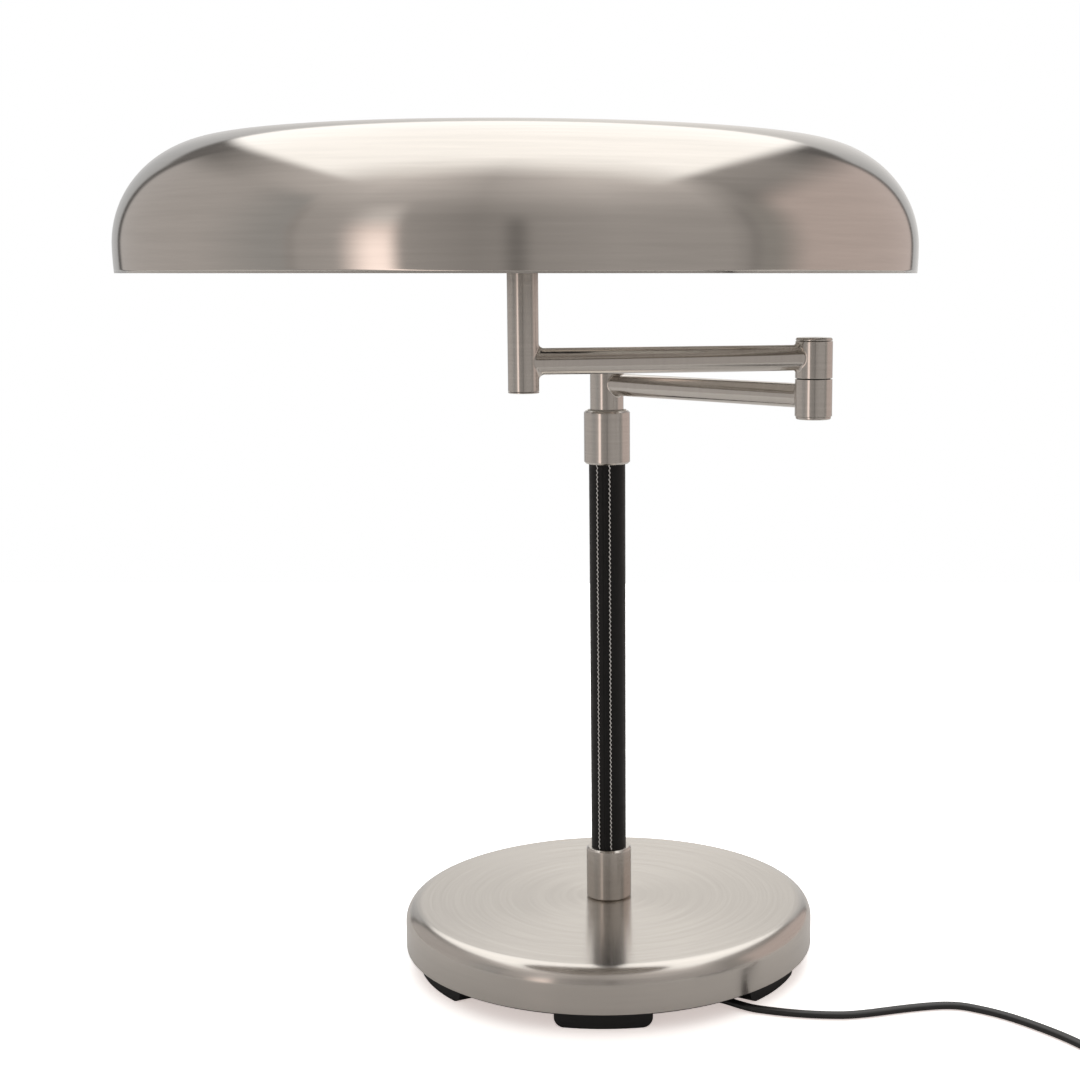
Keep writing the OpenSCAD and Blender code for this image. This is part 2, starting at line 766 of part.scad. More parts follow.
// ---- Upper arm ----

module upper_knuckle() {
    color("silver")
    translate([elbow_x, elbow_y, 0])
    difference() {
        bevelled_ring(knuckle_r, pivot_r + run_gap, upper_knuckle_z,
            upper_knuckle_top_z - upper_knuckle_z, joint_bevel);
        translate([0, 0, upper_knuckle_z + knuckle_floor_t])
            cylinder(r = chamber_r, h = knuckle_h, $fn = small_fn);
        rotate(upper_arm_turn) translate([0, 0, upper_arm_z]) rotate([0, 90, 0])
            cylinder(r = upper_bore_r, h = knuckle_r + cut, $fn = small_fn);
    }
}

module knuckle_top_cap() {
    edge_r = 0.45 * top_cap_t;
    plug_h = 1.2;
    color("silver")
    translate([elbow_x, elbow_y, 0]) {
        rotate_extrude($fn = round_fn)
            disc_section(knuckle_r, upper_knuckle_top_z, upper_knuckle_top_z + top_cap_t, edge_r);
        translate([0, 0, upper_knuckle_top_z - plug_h])
            cylinder(r = chamber_r - seat_gap, h = plug_h + edge_r, $fn = small_fn);
    }
}

module elbow_washer() {
    color("beige")
    translate([elbow_x, elbow_y, 0])
        ring(knuckle_r - 0.9, pivot_r + run_gap, lower_knuckle_top_z + run_gap,
            knuckle_gap - run_gap);
}

module upper_arm_tube() {
    color("silver")
    translate([elbow_x, elbow_y, upper_arm_z]) rotate(upper_arm_turn)
        arm_tube(upper_arm_l, upper_arm_r, upper_bore_r, knuckle_r, shade_post_r);
}

module arm_welds() {
    color("silver")
    translate([elbow_x, elbow_y, upper_arm_z]) rotate(upper_arm_turn) {
        weld_fillet(upper_arm_r, knuckle_r, knuckle_weld_r);
        translate([upper_arm_l, 0, 0]) rotate(180)
            weld_fillet(upper_arm_r, shade_post_r, post_weld_r);
    }
}

module shade_post() {
    color("silver")
    translate([shade_x, shade_y, 0])
    difference() {
        bevelled_ring(shade_post_r, shade_post_bore_r, shade_post_z, hub_z - shade_post_z,
            joint_bevel);
        rotate(upper_arm_turn + 180) translate([0, 0, upper_arm_z]) rotate([0, 90, 0])
            cylinder(r = upper_bore_r, h = shade_post_r + cut, $fn = small_fn);
        translate([-shade_post_r - cut, 0, bulb_z]) rotate([0, 90, 0])
            cylinder(r = cross_r + seat_gap, h = 2 * (shade_post_r + cut), $fn = small_fn);
    }
}

module post_end_cap() {
    plug_h = 2;
    color("silver")
    translate([shade_x, shade_y, shade_post_z - post_cap_t]) {
        cylinder(r = shade_post_r, h = post_cap_t, $fn = round_fn);
        cylinder(r = shade_post_bore_r - seat_gap, h = post_cap_t + plug_h, $fn = small_fn);
    }
}

module upper_arm_lead() {
    inner_lead([
        [elbow_x, elbow_y, lead_meet_z], [elbow_x, elbow_y, upper_arm_z],
        [shade_x, shade_y, upper_arm_z], [shade_x, shade_y, bulb_z - cross_r - 0.3]
    ], upper_arm_turn);
}

// ---- Shade and bulbs ----

// Points of the shade's outline from the rim to the crown, moved inwards by w
function shade_line(w) = concat(
    [for (s = [0 : 3])
        [shade_r - w - skirt_draw * pow(1 - s / 3, 2), rim_z + skirt_h * s / 3]],
    [for (s = [1 : 20])
        let (a = 90 - (90 - join_turn) * s / 20)
        [shoulder_x + (shoulder_w - w) * sin(a), widest_z + (shoulder_h - w) * cos(a)]],
    [for (s = [1 : 12])
        let (k = 1 - s / 12)
        [crown_r * k, crown_z - w + crown_h * (1 - k * k)]]
);

module shade() {
    outside = shade_line(0);
    inside = shade_line(shade_wall);
    color("silver")
    translate([shade_x, shade_y, 0])
    rotate_extrude($fn = round_fn) {
        polygon(concat(outside, [for (i = [len(inside) - 1 : -1 : 0]) inside[i]]));
        translate([shade_r - skirt_draw - bead_r, rim_z + bead_r])
            circle(r = bead_r, $fn = small_fn);
    }
}

module shade_hub() {
    color("gainsboro")
    translate([shade_x, shade_y, hub_z]) cylinder(r = hub_r, h = hub_t, $fn = round_fn);
}

// Threaded tube through the post: it carries a lampholder on each end
module cross_tube() {
    color("goldenrod")
    translate([shade_x, shade_y, bulb_z]) rotate([0, 90, 0])
    difference() {
        cylinder(r = cross_r, h = 2 * cross_half_l, center = true, $fn = small_fn);
        cylinder(r = cross_r - cross_wall, h = 2 * cross_half_l + cut, center = true,
            $fn = small_fn);
    }
}

// Everything that comes twice, to the left and the right of the post
module both_sides() {
    for (side = [0, 180])
        translate([shade_x, shade_y, bulb_z]) rotate(side) rotate([0, 90, 0]) children();
}

module lampholders() {
    color([0.1, 0.1, 0.1])
    both_sides()
    rotate_extrude($fn = small_fn)
    polygon([
        [cross_r + seat_gap, holder_gap], [holder_r - 3, holder_gap],
        [holder_r - 1, holder_gap + 4], [holder_r - 1, holder_gap + 14],
        [holder_r, holder_gap + 15], [holder_r, holder_gap + holder_l],
        [bulb_cap_r + 0.4, holder_gap + holder_l],
        [bulb_cap_r + 0.4, holder_gap + holder_floor_t],
        [cross_r + seat_gap, holder_gap + holder_floor_t]
    ]);
}

module bulb_caps() {
    foot = holder_gap + holder_floor_t + 0.3;
    color("goldenrod")
    both_sides()
    rotate_extrude($fn = small_fn)
    polygon([
        [0, foot], [2.5, foot], [bulb_cap_r, foot + 4], [bulb_cap_r, foot + bulb_cap_l],
        [0, foot + bulb_cap_l]
    ]);
}

// A candle shaped glass: its radius swells from the neck and closes in a rounded tip
module bulbs() {
    foot = holder_gap + holder_floor_t + 0.3 + bulb_cap_l;
    steps = 20;
    neck_r = bulb_cap_r - 0.2;
    color([1, 1, 0.95, 0.8])
    both_sides()
    rotate_extrude($fn = small_fn)
    polygon(concat(
        [[0, foot], [neck_r, foot], [neck_r, foot + 6]],
        [for (s = [1 : steps])
            let (k = s / steps, swell = sin(180 * pow(k, 0.85)))
            [max(0, neck_r * (1 - k) * (1 - swell) + bulb_r * pow(max(0, swell), 0.75)),
                foot + 6 + (bulb_glass_l - 6) * k]]
    ));
}

// ---- Cord ----

module cord_gland() {
    color([0.05, 0.05, 0.05])
    translate([gland_spot[0], gland_spot[1], gland_z])
    rotate(atan2(relief_way[1], relief_way[0]))
    linear_extrude(pad_h - gland_z) rounded_square(gland_l, gland_w, 2);
}

module cord_relief() {
    color([0.05, 0.05, 0.05])
    translate(lead_route[0] - relief_l * relief_way)
    rotate([0, 90, atan2(relief_way[1], relief_way[0])])
        cylinder(r1 = relief_foot_r, r2 = relief_tip_r, h = relief_l, $fn = small_fn);
}

module flat_cord(route, sides = 8) {
    color([0.04, 0.04, 0.04])
    swept_tube(route, cord_w / 2, cord_t / 2, sides);
}

module cord_lead() {
    flat_cord(lead_route);
}

module cord_link() {
    flat_cord(link_route);
}

module cord_tail() {
    flat_cord(tail_route);
}

// Radius of the coil after some turns: in and out again, once for every two layers
function coil_radius(turn) =
    coil_out_r - (coil_out_r - coil_in_r) * (1 - abs((turn / layer_turns) % 2 - 1));

// Height of the coil after some turns: it climbs a layer in the half turn round each reversal
function coil_height(turn) =
    coil_z + layer_pitch * (
        min(max(2 * (turn - layer_turns) + 0.5, 0), 1)
        + min(max(2 * (turn - 2 * layer_turns) + 0.5, 0), 1)
        + min(max(2 * (turn - 3 * layer_turns) + 0.5, 0), 1)
    );

function coil_point(turn) = [
    coil_x + coil_radius(turn) * cos(180 + 360 * turn),
    coil_y + coil_radius(turn) * sin(180 + 360 * turn),
    coil_height(turn)
];

coil_rings = coil_turns * rings_per_turn;

// Least gap between turns: whole turns apart, the flat sections stand in one upright plane
coil_gap = min([for (i = [0 : coil_rings], j = [i + rings_per_turn : rings_per_turn : coil_rings])
    max(
        abs(coil_radius(i / rings_per_turn) - coil_radius(j / rings_per_turn)) - cord_w,
        abs(coil_height(i / rings_per_turn) - coil_height(j / rings_per_turn)) - cord_t
    )]);

module cord_coil() {
    first = [coil_x - coil_out_r, coil_y, coil_z];
    last = [coil_x + coil_out_r, coil_y, coil_end_z];
    echo("least gap in the coil, mm", coil_gap);
    flat_cord(concat(
        [first + [0, coil_lead_in, 0]],
        [for (i = [0 : coil_rings]) coil_point(i / rings_per_turn)],
        [last + [0, coil_lead_in, 0]]
    ), 6);
}

// Strap round the coil's turns, at the side away from the switch
module cord_tie() {
    room = 0.3;
    low_z = coil_z - cord_t / 2 - 0.2 - tie_t;
    high_z = coil_end_z + cord_t / 2 + room + tie_t;
    in_r = coil_in_r - cord_w / 2 - room;
    out_r = coil_out_r + cord_w / 2 + room;
    color([0.1, 0.1, 0.1])
    translate([coil_x, coil_y, (low_z + high_z) / 2]) rotate(-60)
    translate([(in_r + out_r) / 2, tie_w / 2, 0]) rotate([90, 0, 0])
    linear_extrude(tie_w)
    difference() {
        rounded_square(out_r - in_r + 2 * tie_t, high_z - low_z, 2);
        rounded_square(out_r - in_r, high_z - low_z - 2 * tie_t, 2 - tie_t);
    }
}

// ---- Switch in the cord ----

module switch_outline(inset = 0) {
    rounded_square(switch_w - 2 * inset, switch_l - 2 * inset, switch_corner_r - inset);
}

module rocker_well(length_room, z, h) {
    translate([-rocker_w / 2 - 0.3, -rocker_l / 2 - length_room, z])
        cube([rocker_w + 0.6, rocker_l + 2 * length_room, h]);
}

module switch_base() {
    color([0.05, 0.05, 0.05])
    translate([switch_x, switch_y, 0])
    difference() {
        linear_extrude(switch_base_h) switch_outline();
        rocker_well(1.2, rocker_z - 6, switch_h);
    }
}

// Upper half: its edge is bevelled, and the rocker's trunnions turn in its sides
module switch_cover() {
    bevel = 2;
    color([0.05, 0.05, 0.05])
    translate([switch_x, switch_y, 0])
    difference() {
        union() {
            translate([0, 0, switch_base_h])
                linear_extrude(switch_h - switch_base_h - bevel) switch_outline();
            hull() {
                translate([0, 0, switch_h - bevel - 0.01]) linear_extrude(0.01) switch_outline();
                translate([0, 0, switch_h - 0.01]) linear_extrude(0.01) switch_outline(bevel);
            }
        }
        rocker_well(1.2, switch_base_h - cut, switch_h);
        translate([0, 0, rocker_z]) rotate([0, 90, 0])
            cylinder(r = trunnion_r + run_gap, h = rocker_w + 6, center = true, $fn = small_fn);
    }
}

// The rocker rests tipped to its off side
module switch_rocker() {
    half_l = rocker_l / 2;
    color([0.12, 0.12, 0.12])
    translate([switch_x, switch_y, rocker_z]) rotate([-rocker_tip, 0, 0]) {
        translate([-rocker_w / 2, 0, 0]) rotate([90, 0, 90]) linear_extrude(rocker_w)
        polygon([
            [-half_l, 1.5], [-half_l, 5.2], [0, 4], [half_l, 5.2], [half_l, 1.5],
            [3, -3.5], [-3, -3.5]
        ]);
        rotate([0, 90, 0])
            cylinder(r = trunnion_r, h = rocker_w + 5.4, center = true, $fn = small_fn);
    }
}

// ---- Plug ----

module plug_outline(inset) {
    front = plug_w / 2 - inset;
    back = plug_w / 4 - inset;
    polygon([
        [-front, plug_l - inset], [front, plug_l - inset], [front, plug_l * 0.55],
        [back, inset], [-back, inset], [-front, plug_l * 0.55]
    ]);
}

module plug_body() {
    bevel = 2;
    color([0.05, 0.05, 0.05])
    translate([plug_x, plug_y, plug_z])
    difference() {
        union() {
            translate([0, plug_sleeve_l, 0])
            hull() {
                linear_extrude(plug_h - 2 * bevel, center = true) plug_outline(0);
                linear_extrude(plug_h, center = true) plug_outline(bevel);
            }
            rotate([-90, 0, 0])
                cylinder(r1 = relief_tip_r, r2 = relief_foot_r + 0.6, h = plug_sleeve_l + cut,
                    $fn = small_fn);
        }
        for (side = [-1, 1])
            translate([side * pin_spacing / 2, plug_sleeve_l + plug_l - pin_root_l, 0])
            rotate([-90, 0, 0])
                cylinder(r = pin_root_r + seat_gap, h = pin_root_l + cut, $fn = small_fn);
    }
}

// Each pin stands on a thinner root that is moulded into the plug
module plug_pins() {
    color("gainsboro")
    for (side = [-1, 1])
        translate([plug_x + side * pin_spacing / 2, plug_face_y, plug_z]) rotate([-90, 0, 0]) {
            cylinder(r = pin_r, h = pin_l, $fn = small_fn);
            translate([0, 0, -pin_root_l])
                cylinder(r = pin_root_r, h = pin_root_l + cut, $fn = small_fn);
        }
}

base_cover();
base_weight();
bottom_plate();
foot_pads();
plate_screws();
stem_tube();
stem_washer();
stem_nut();
leather_sleeve();
lower_collar();
upper_collar();
swivel_bush();
stem_lead();
swivel_post();
swivel_clip();
lower_arm_tube();
lower_arm_welds();
lower_knuckle();
knuckle_foot_cap();
elbow_pivot();
spring_washer();
pivot_nut();
lower_arm_lead();
upper_knuckle();
knuckle_top_cap();
elbow_washer();
upper_arm_tube();
arm_welds();
shade_post();
post_end_cap();
upper_arm_lead();
shade();
shade_hub();
cross_tube();
lampholders();
bulb_caps();
bulbs();
cord_gland();
cord_relief();
cord_lead();
cord_link();
cord_coil();
cord_tail();
cord_tie();
switch_base();
switch_cover();
switch_rocker();
plug_body();
plug_pins();
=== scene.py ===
"""The looks of a dome shade desk lamp, piece by piece from the table up.

Lengths are metres, +Z is up, and the origin is on the stem's axis at the level of the table.
"""

import bpy
import numpy as np
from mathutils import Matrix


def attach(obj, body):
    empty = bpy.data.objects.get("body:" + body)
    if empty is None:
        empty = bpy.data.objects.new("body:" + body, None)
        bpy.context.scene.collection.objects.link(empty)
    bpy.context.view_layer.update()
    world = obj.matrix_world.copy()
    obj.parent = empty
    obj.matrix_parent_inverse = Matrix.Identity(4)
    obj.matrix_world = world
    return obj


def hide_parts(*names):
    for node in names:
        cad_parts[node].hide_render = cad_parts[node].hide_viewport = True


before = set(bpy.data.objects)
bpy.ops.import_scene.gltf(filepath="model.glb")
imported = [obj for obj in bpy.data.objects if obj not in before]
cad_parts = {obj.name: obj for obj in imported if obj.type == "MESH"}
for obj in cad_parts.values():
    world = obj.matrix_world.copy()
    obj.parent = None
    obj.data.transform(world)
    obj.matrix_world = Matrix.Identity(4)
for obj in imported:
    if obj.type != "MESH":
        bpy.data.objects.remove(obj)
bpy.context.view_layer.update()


# ---- Base cover ----
# A shallow pan of sheet metal with a rounded upper edge, drawn over the cast weight.
# Nickel plated and brushed in rings round the stem, so that light fans out across the top.


def eased(corners, steps=5, lip=0.0002):
    """Outline (radius, height) with rounded corners.

    Each corner is (r, z, ease). An arc of radius ease touches both sides of the corner, and a
    point a little before and after it keeps the flats beside it flat.
    """
    spots = np.array([c[:2] for c in corners], float)
    line = []
    for i, (spot, corner) in enumerate(zip(spots, corners)):
        ease = corner[2]
        if ease == 0 or i in (0, len(corners) - 1):
            line.append(spot[None])
            continue
        back = (spots[i - 1] - spot) / np.linalg.norm(spots[i - 1] - spot)
        ahead = (spots[i + 1] - spot) / np.linalg.norm(spots[i + 1] - spot)
        half = np.arccos(np.clip(back @ ahead, -1, 1)) / 2
        middle = spot + (back + ahead) / np.linalg.norm(back + ahead) * ease / np.sin(half)
        start = spot + back * ease / np.tan(half)
        end = spot + ahead * ease / np.tan(half)
        sweep = np.pi - 2 * half
        s = np.linspace(0, 1, steps + 1)[:, None]
        arc = middle + (np.sin(sweep * (1 - s)) * (start - middle)
                        + np.sin(sweep * s) * (end - middle)) / np.sin(sweep)
        line += [(start + back * lip)[None], arc, (end + ahead * lip)[None]]
    return np.concatenate(line)


def distance(line):
    """Distance along a line of points from its first: the running sum of the steps."""
    return np.concatenate([[0], np.cumsum(np.linalg.norm(np.diff(line, axis=0), axis=1))])


def turned(outline, x=0.0, y=0.0, parts=144):
    """Outline (r, z) carried once round the upright line through (x, y).

    Point = (x + r cos t, y + r sin t, z), and t starts at the back. UV = (length along the
    outline, turn from the start times the largest r).
    """
    turn = np.linspace(0, 2 * np.pi, parts + 1)
    t = np.pi / 2 + turn
    r, z = outline[:, 0, None], outline[:, 1, None]
    points = np.stack([x + r * np.cos(t), y + r * np.sin(t), z + 0 * t], -1)
    uv = np.stack(np.broadcast_arrays(distance(outline)[:, None], turn * outline[:, 0].max()), -1)
    return points, uv


def piece(name, patches, finish, body, stands_for=()):
    """One mesh from patches of surface, each a grid of points and a grid of UV in metres.

    Columns or rows that meet are joined, and a row that shrinks to a point becomes a pole. The
    outside is the side from which the columns turn anticlockwise while the rows go up. The
    piece rides on its body, replaces the CAD nodes that it stands for, and gets its finish.
    """
    touch = 1e-9
    spots, faces, spread = [], [], []
    count = 0
    for points, uv in patches:
        rows, columns = points.shape[:2]
        index = np.arange(rows * columns).reshape(rows, columns)
        if np.allclose(points[:, 0], points[:, -1], atol=touch):
            index[:, -1] = index[:, 0]
        if rows > 2 and np.allclose(points[0], points[-1], atol=touch):
            index[-1] = index[0]
        poles = np.ptp(points, axis=1).max(axis=1) < touch
        index[poles] = index[poles][:, :1]
        ring = np.stack([index[:-1, :-1], index[:-1, 1:], index[1:, 1:], index[1:, :-1]], -1)
        flat = np.stack([uv[:-1, :-1], uv[:-1, 1:], uv[1:, 1:], uv[1:, :-1]], 2)
        ring, flat = ring.reshape(-1, 4), flat.reshape(-1, 4, 2)
        low, high = ring[:, 0] == ring[:, 1], ring[:, 2] == ring[:, 3]
        for pick, corners in ((~low & ~high, [0, 1, 2, 3]), (low & ~high, [0, 2, 3]),
                              (high & ~low, [0, 1, 2])):
            used = ring[pick][:, corners]
            faces += (used + count).tolist()
            spread.append(flat[pick][:, corners].reshape(-1, 2))
        spots.append(points.reshape(-1, 3))
        count += rows * columns
    spots = np.concatenate(spots)
    kept, where = np.unique(np.concatenate(faces), return_inverse=True)
    sizes = np.array([len(f) for f in faces])
    ends = np.cumsum(sizes)
    mesh = bpy.data.meshes.new(name)
    mesh.from_pydata(spots[kept].tolist(), [],
                     [where[e - s:e].tolist() for e, s in zip(ends, sizes)])
    layer = mesh.uv_layers.new(name="UVMap")
    layer.data.foreach_set("uv", np.concatenate(spread).ravel().astype(np.float32))
    mesh.polygons.foreach_set("use_smooth", np.ones(len(mesh.polygons), bool))
    mesh.materials.append(finish)
    mesh.update()
    made = bpy.data.objects.new(name, mesh)
    bpy.context.scene.collection.objects.link(made)
    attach(made, body)
    if stands_for:
        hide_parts(*stands_for)
    return made


def wire(tree, value, socket):
    """Joins an output to a socket, or sets the socket to a plain value."""
    if isinstance(value, bpy.types.NodeSocket):
        tree.links.new(value, socket)
    else:
        socket.default_value = value


def add(tree, kind, inputs=None, **settings):
    """A node of a kind with its settings made and its inputs wired."""
    node = tree.nodes.new("ShaderNode" + kind)
    for key, value in settings.items():
        setattr(node, key, value)
    for key, value in (inputs or {}).items():
        wire(tree, value, node.inputs[key])
    return node


def ramp(tree, value, stops):
    """A colour ramp whose stops are (place, brightness or colour)."""
    node = add(tree, "ValToRGB", {"Fac": value})
    for i, (place, shade) in enumerate(stops):
        stop = node.color_ramp.elements[i] if i < 2 else node.color_ramp.elements.new(place)
        stop.position = place
        stop.color = (*(shade if isinstance(shade, tuple) else (shade,) * 3), 1)
    return node.outputs["Color"]


def fresh(name):
    """A new material with its node tree and its shader."""
    finish = bpy.data.materials.new(name)
    finish.use_nodes = True
    return finish, finish.node_tree, finish.node_tree.nodes["Principled BSDF"]


def brushed_nickel(name, rough, stretch, grain, depth):
    """Nickel plate brushed round the piece's axis.

    Object coordinates change slowly and the length along the outline changes fast, so noise on
    their sum makes long thin scratches that follow the turning. They sway the colour, the
    roughness and the surface, and the highlight spreads along U, across the scratches.
    """
    tint, slow = (0.60, 0.568, 0.53), 16
    finish, tree, shader = fresh(name)
    place = add(tree, "TexCoord").outputs["Object"]
    around = add(tree, "VectorMath", {0: place, 1: (slow,) * 3}, operation="MULTIPLY")
    along = add(tree, "SeparateXYZ", {0: add(tree, "UVMap", uv_map="UVMap").outputs["UV"]})
    scratches = []
    for fine in (grain, grain / 3, grain * 4):
        climb = add(tree, "Math", {0: along.outputs["X"], 1: fine}, operation="MULTIPLY")
        lift = add(tree, "CombineXYZ", {"Z": climb.outputs[0]})
        both = add(tree, "VectorMath", {0: around.outputs[0], 1: lift.outputs[0]})
        noise = add(tree, "TexNoise", {"Vector": both.outputs[0], "Scale": 1.0, "Detail": 3.0,
                                       "Roughness": 0.6})
        scratches.append(noise.outputs["Fac"])
    fine, broad, hair = scratches
    mixed = add(tree, "Mix", {"Factor": 0.35, "A": fine, "B": broad}, data_type="FLOAT")
    mixed = mixed.outputs["Result"]
    light = tuple(c * 1.05 for c in tint)
    dark = tuple(c * 0.94 for c in tint)
    wire(tree, ramp(tree, mixed, [(0.3, dark), (0.7, light)]), shader.inputs["Base Color"])
    worn = add(tree, "MapRange", {"Value": mixed, "From Min": 0.3, "From Max": 0.7,
                                  "To Min": rough * 0.88, "To Max": rough * 1.14})
    wire(tree, worn.outputs["Result"], shader.inputs["Roughness"])
    shader.inputs["Metallic"].default_value = 1.0
    shader.inputs["Anisotropic"].default_value = stretch
    across = add(tree, "Tangent", direction_type="UV_MAP", uv_map="UVMap")
    wire(tree, across.outputs["Tangent"], shader.inputs["Tangent"])
    relief = add(tree, "Mix", {"Factor": 0.25, "A": fine, "B": hair}, data_type="FLOAT")
    bump = add(tree, "Bump", {"Strength": depth, "Distance": 0.0002,
                              "Height": relief.outputs["Result"]})
    wire(tree, bump.outputs["Normal"], shader.inputs["Normal"])
    return finish


base_nickel = brushed_nickel("base_nickel", rough=0.21, stretch=0.8, grain=700.0, depth=0.001)
BASE_R, BASE_FOOT, BASE_TOP, SHEET, STEM_HOLE = 0.1100, 0.0100, 0.0330, 0.0015, 0.0081
cover_line = eased([
    (BASE_R - SHEET, BASE_FOOT, 0), (BASE_R, BASE_FOOT, 0.0003), (BASE_R, BASE_TOP, 0.009),
    (STEM_HOLE, BASE_TOP, 0.0002), (STEM_HOLE, BASE_TOP - SHEET, 0),
], steps=16)
cover_under = np.array([
    (0.0083, BASE_TOP - SHEET), (0.1010, BASE_TOP - SHEET), (0.1055, 0.0300), (0.1075, 0.0270),
    (BASE_R - SHEET, 0.0240), (BASE_R - SHEET, BASE_FOOT),
])
piece("base_cover_skin", [turned(np.concatenate([cover_line, cover_under]), parts=240)],
      base_nickel, "stand", ["base_cover"])


# ---- Under the base ----
# A sheet steel plate closes the pan, and three countersunk screws hold it to the iron weight.
# The plate is painted black, the weight rough cast iron. A washer and a brass nut clamp the zinc
# plated stem tube through the cover, and the tube carries a white lead.


def dull(name, colour, rough, size, depth=0.3, metal=0.0, sway=0.15):
    """A plain surface with a fine grain of the given size in its colour, gloss and relief."""
    finish, tree, shader = fresh(name)
    place = add(tree, "TexCoord").outputs["Object"]
    grain = add(tree, "TexNoise", {"Vector": place, "Scale": 1 / size, "Detail": 4.0,
                                   "Roughness": 0.65}).outputs["Fac"]
    cloud = add(tree, "TexNoise", {"Vector": place, "Scale": 60.0, "Detail": 3.0}).outputs["Fac"]
    mixed = add(tree, "Mix", {"Factor": 0.45, "A": grain, "B": cloud}, data_type="FLOAT")
    mixed = mixed.outputs["Result"]
    wire(tree, ramp(tree, mixed, [(0.3, tuple(c * (1 - sway) for c in colour)),
                                  (0.7, tuple(c * (1 + sway) for c in colour))]),
         shader.inputs["Base Color"])
    worn = add(tree, "MapRange", {"Value": mixed, "From Min": 0.3, "From Max": 0.7,
                                  "To Min": rough * 0.85, "To Max": min(rough * 1.15, 1)})
    wire(tree, worn.outputs["Result"], shader.inputs["Roughness"])
    shader.inputs["Metallic"].default_value = metal
    bump = add(tree, "Bump", {"Strength": depth, "Distance": 0.0001, "Height": grain})
    wire(tree, bump.outputs["Normal"], shader.inputs["Normal"])
    return finish


def dress(finish, slot, *names):
    """Puts a finish on CAD nodes whose own shape is shown."""
    for name in names:
        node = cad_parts[name]
        node.data.materials.clear()
        node.data.materials.append(finish)


dress(dull("plate_paint", (0.022, 0.022, 0.023), 0.55, 0.0006), "plate_black", "bottom_plate")
dress(dull("cast_iron", (0.075, 0.072, 0.070), 0.8, 0.0012, 0.7), "weight_iron", "base_weight")
zinc = dull("bright_zinc", (0.52, 0.53, 0.55), 0.32, 0.0005, 0.08, metal=1.0, sway=0.06)
dress(zinc, "zinc_steel", "plate_screws", "stem_tube", "stem_washer")
brass = dull("turned_brass", (0.70, 0.52, 0.26), 0.3, 0.0004, 0.08, metal=1.0, sway=0.06)
dress(brass, "brass", "stem_nut")
lead_sheath = dull("lead_sheath", (0.75, 0.74, 0.71), 0.4, 0.0005, 0.1, sway=0.04)
dress(lead_sheath, "lead_white", "stem_lead")


# ---- Rubber pads ----
# Six black rubber blocks under the plate's rim, with rounded lower corners.
# Moulded and matt, with a fine random grain in tone, gloss and relief.
rubber = dull("pad_rubber", (0.012, 0.012, 0.0125), 0.62, 0.0007, 0.35, sway=0.25)
dress(rubber, "pad_rubber", "foot_pads")


# ---- Leather sleeve ----
# Thin black leather wrapped round the stem: its edges butt together towards the front.
# A row of stitches runs along each side of that seam, and pulls the leather in a little.
SEAM = np.radians(-101.0)
STITCH_OFF = 0.0033
SLEEVE_FOOT, SLEEVE_HEAD, SLEEVE_BORE, SLEEVE_MEAN = 0.061, 0.270, 0.0081, 0.0094


def sleeve_radius(z):
    """The sleeve's radius: 9.3 mm at its foot, and 0.3 mm more at its head."""
    return 0.0093 + 0.0003 * (z - SLEEVE_FOOT) / (SLEEVE_HEAD - SLEEVE_FOOT)


def grained_leather():
    """Black hide: small cells for pores, soft noise for creases, worn gloss."""
    finish, tree, shader = fresh("black_leather")
    place = add(tree, "TexCoord").outputs["Object"]
    cells = add(tree, "TexVoronoi", {"Vector": place, "Scale": 1300.0, "Randomness": 1.0},
                feature="DISTANCE_TO_EDGE").outputs["Distance"]
    crease = add(tree, "TexNoise", {"Vector": place, "Scale": 260.0, "Detail": 4.0,
                                    "Roughness": 0.6}).outputs["Fac"]
    pores = ramp(tree, cells, [(0.0, 0.0), (0.25, 1.0)])
    wire(tree, ramp(tree, crease, [(0.3, (0.0042, 0.0042, 0.0044)),
                                   (0.7, (0.0080, 0.0080, 0.0083))]),
         shader.inputs["Base Color"])
    gloss = add(tree, "MapRange", {"Value": crease, "From Min": 0.3, "From Max": 0.7,
                                   "To Min": 0.42, "To Max": 0.58})
    wire(tree, gloss.outputs["Result"], shader.inputs["Roughness"])
    fine = add(tree, "Bump", {"Strength": 0.35, "Distance": 0.00006, "Height": pores})
    both = add(tree, "Bump", {"Strength": 0.3, "Distance": 0.0002, "Height": crease,
                              "Normal": fine.outputs["Normal"]})
    wire(tree, both.outputs["Normal"], shader.inputs["Normal"])
    shader.inputs["Specular IOR Level"].default_value = 0.27
    return finish


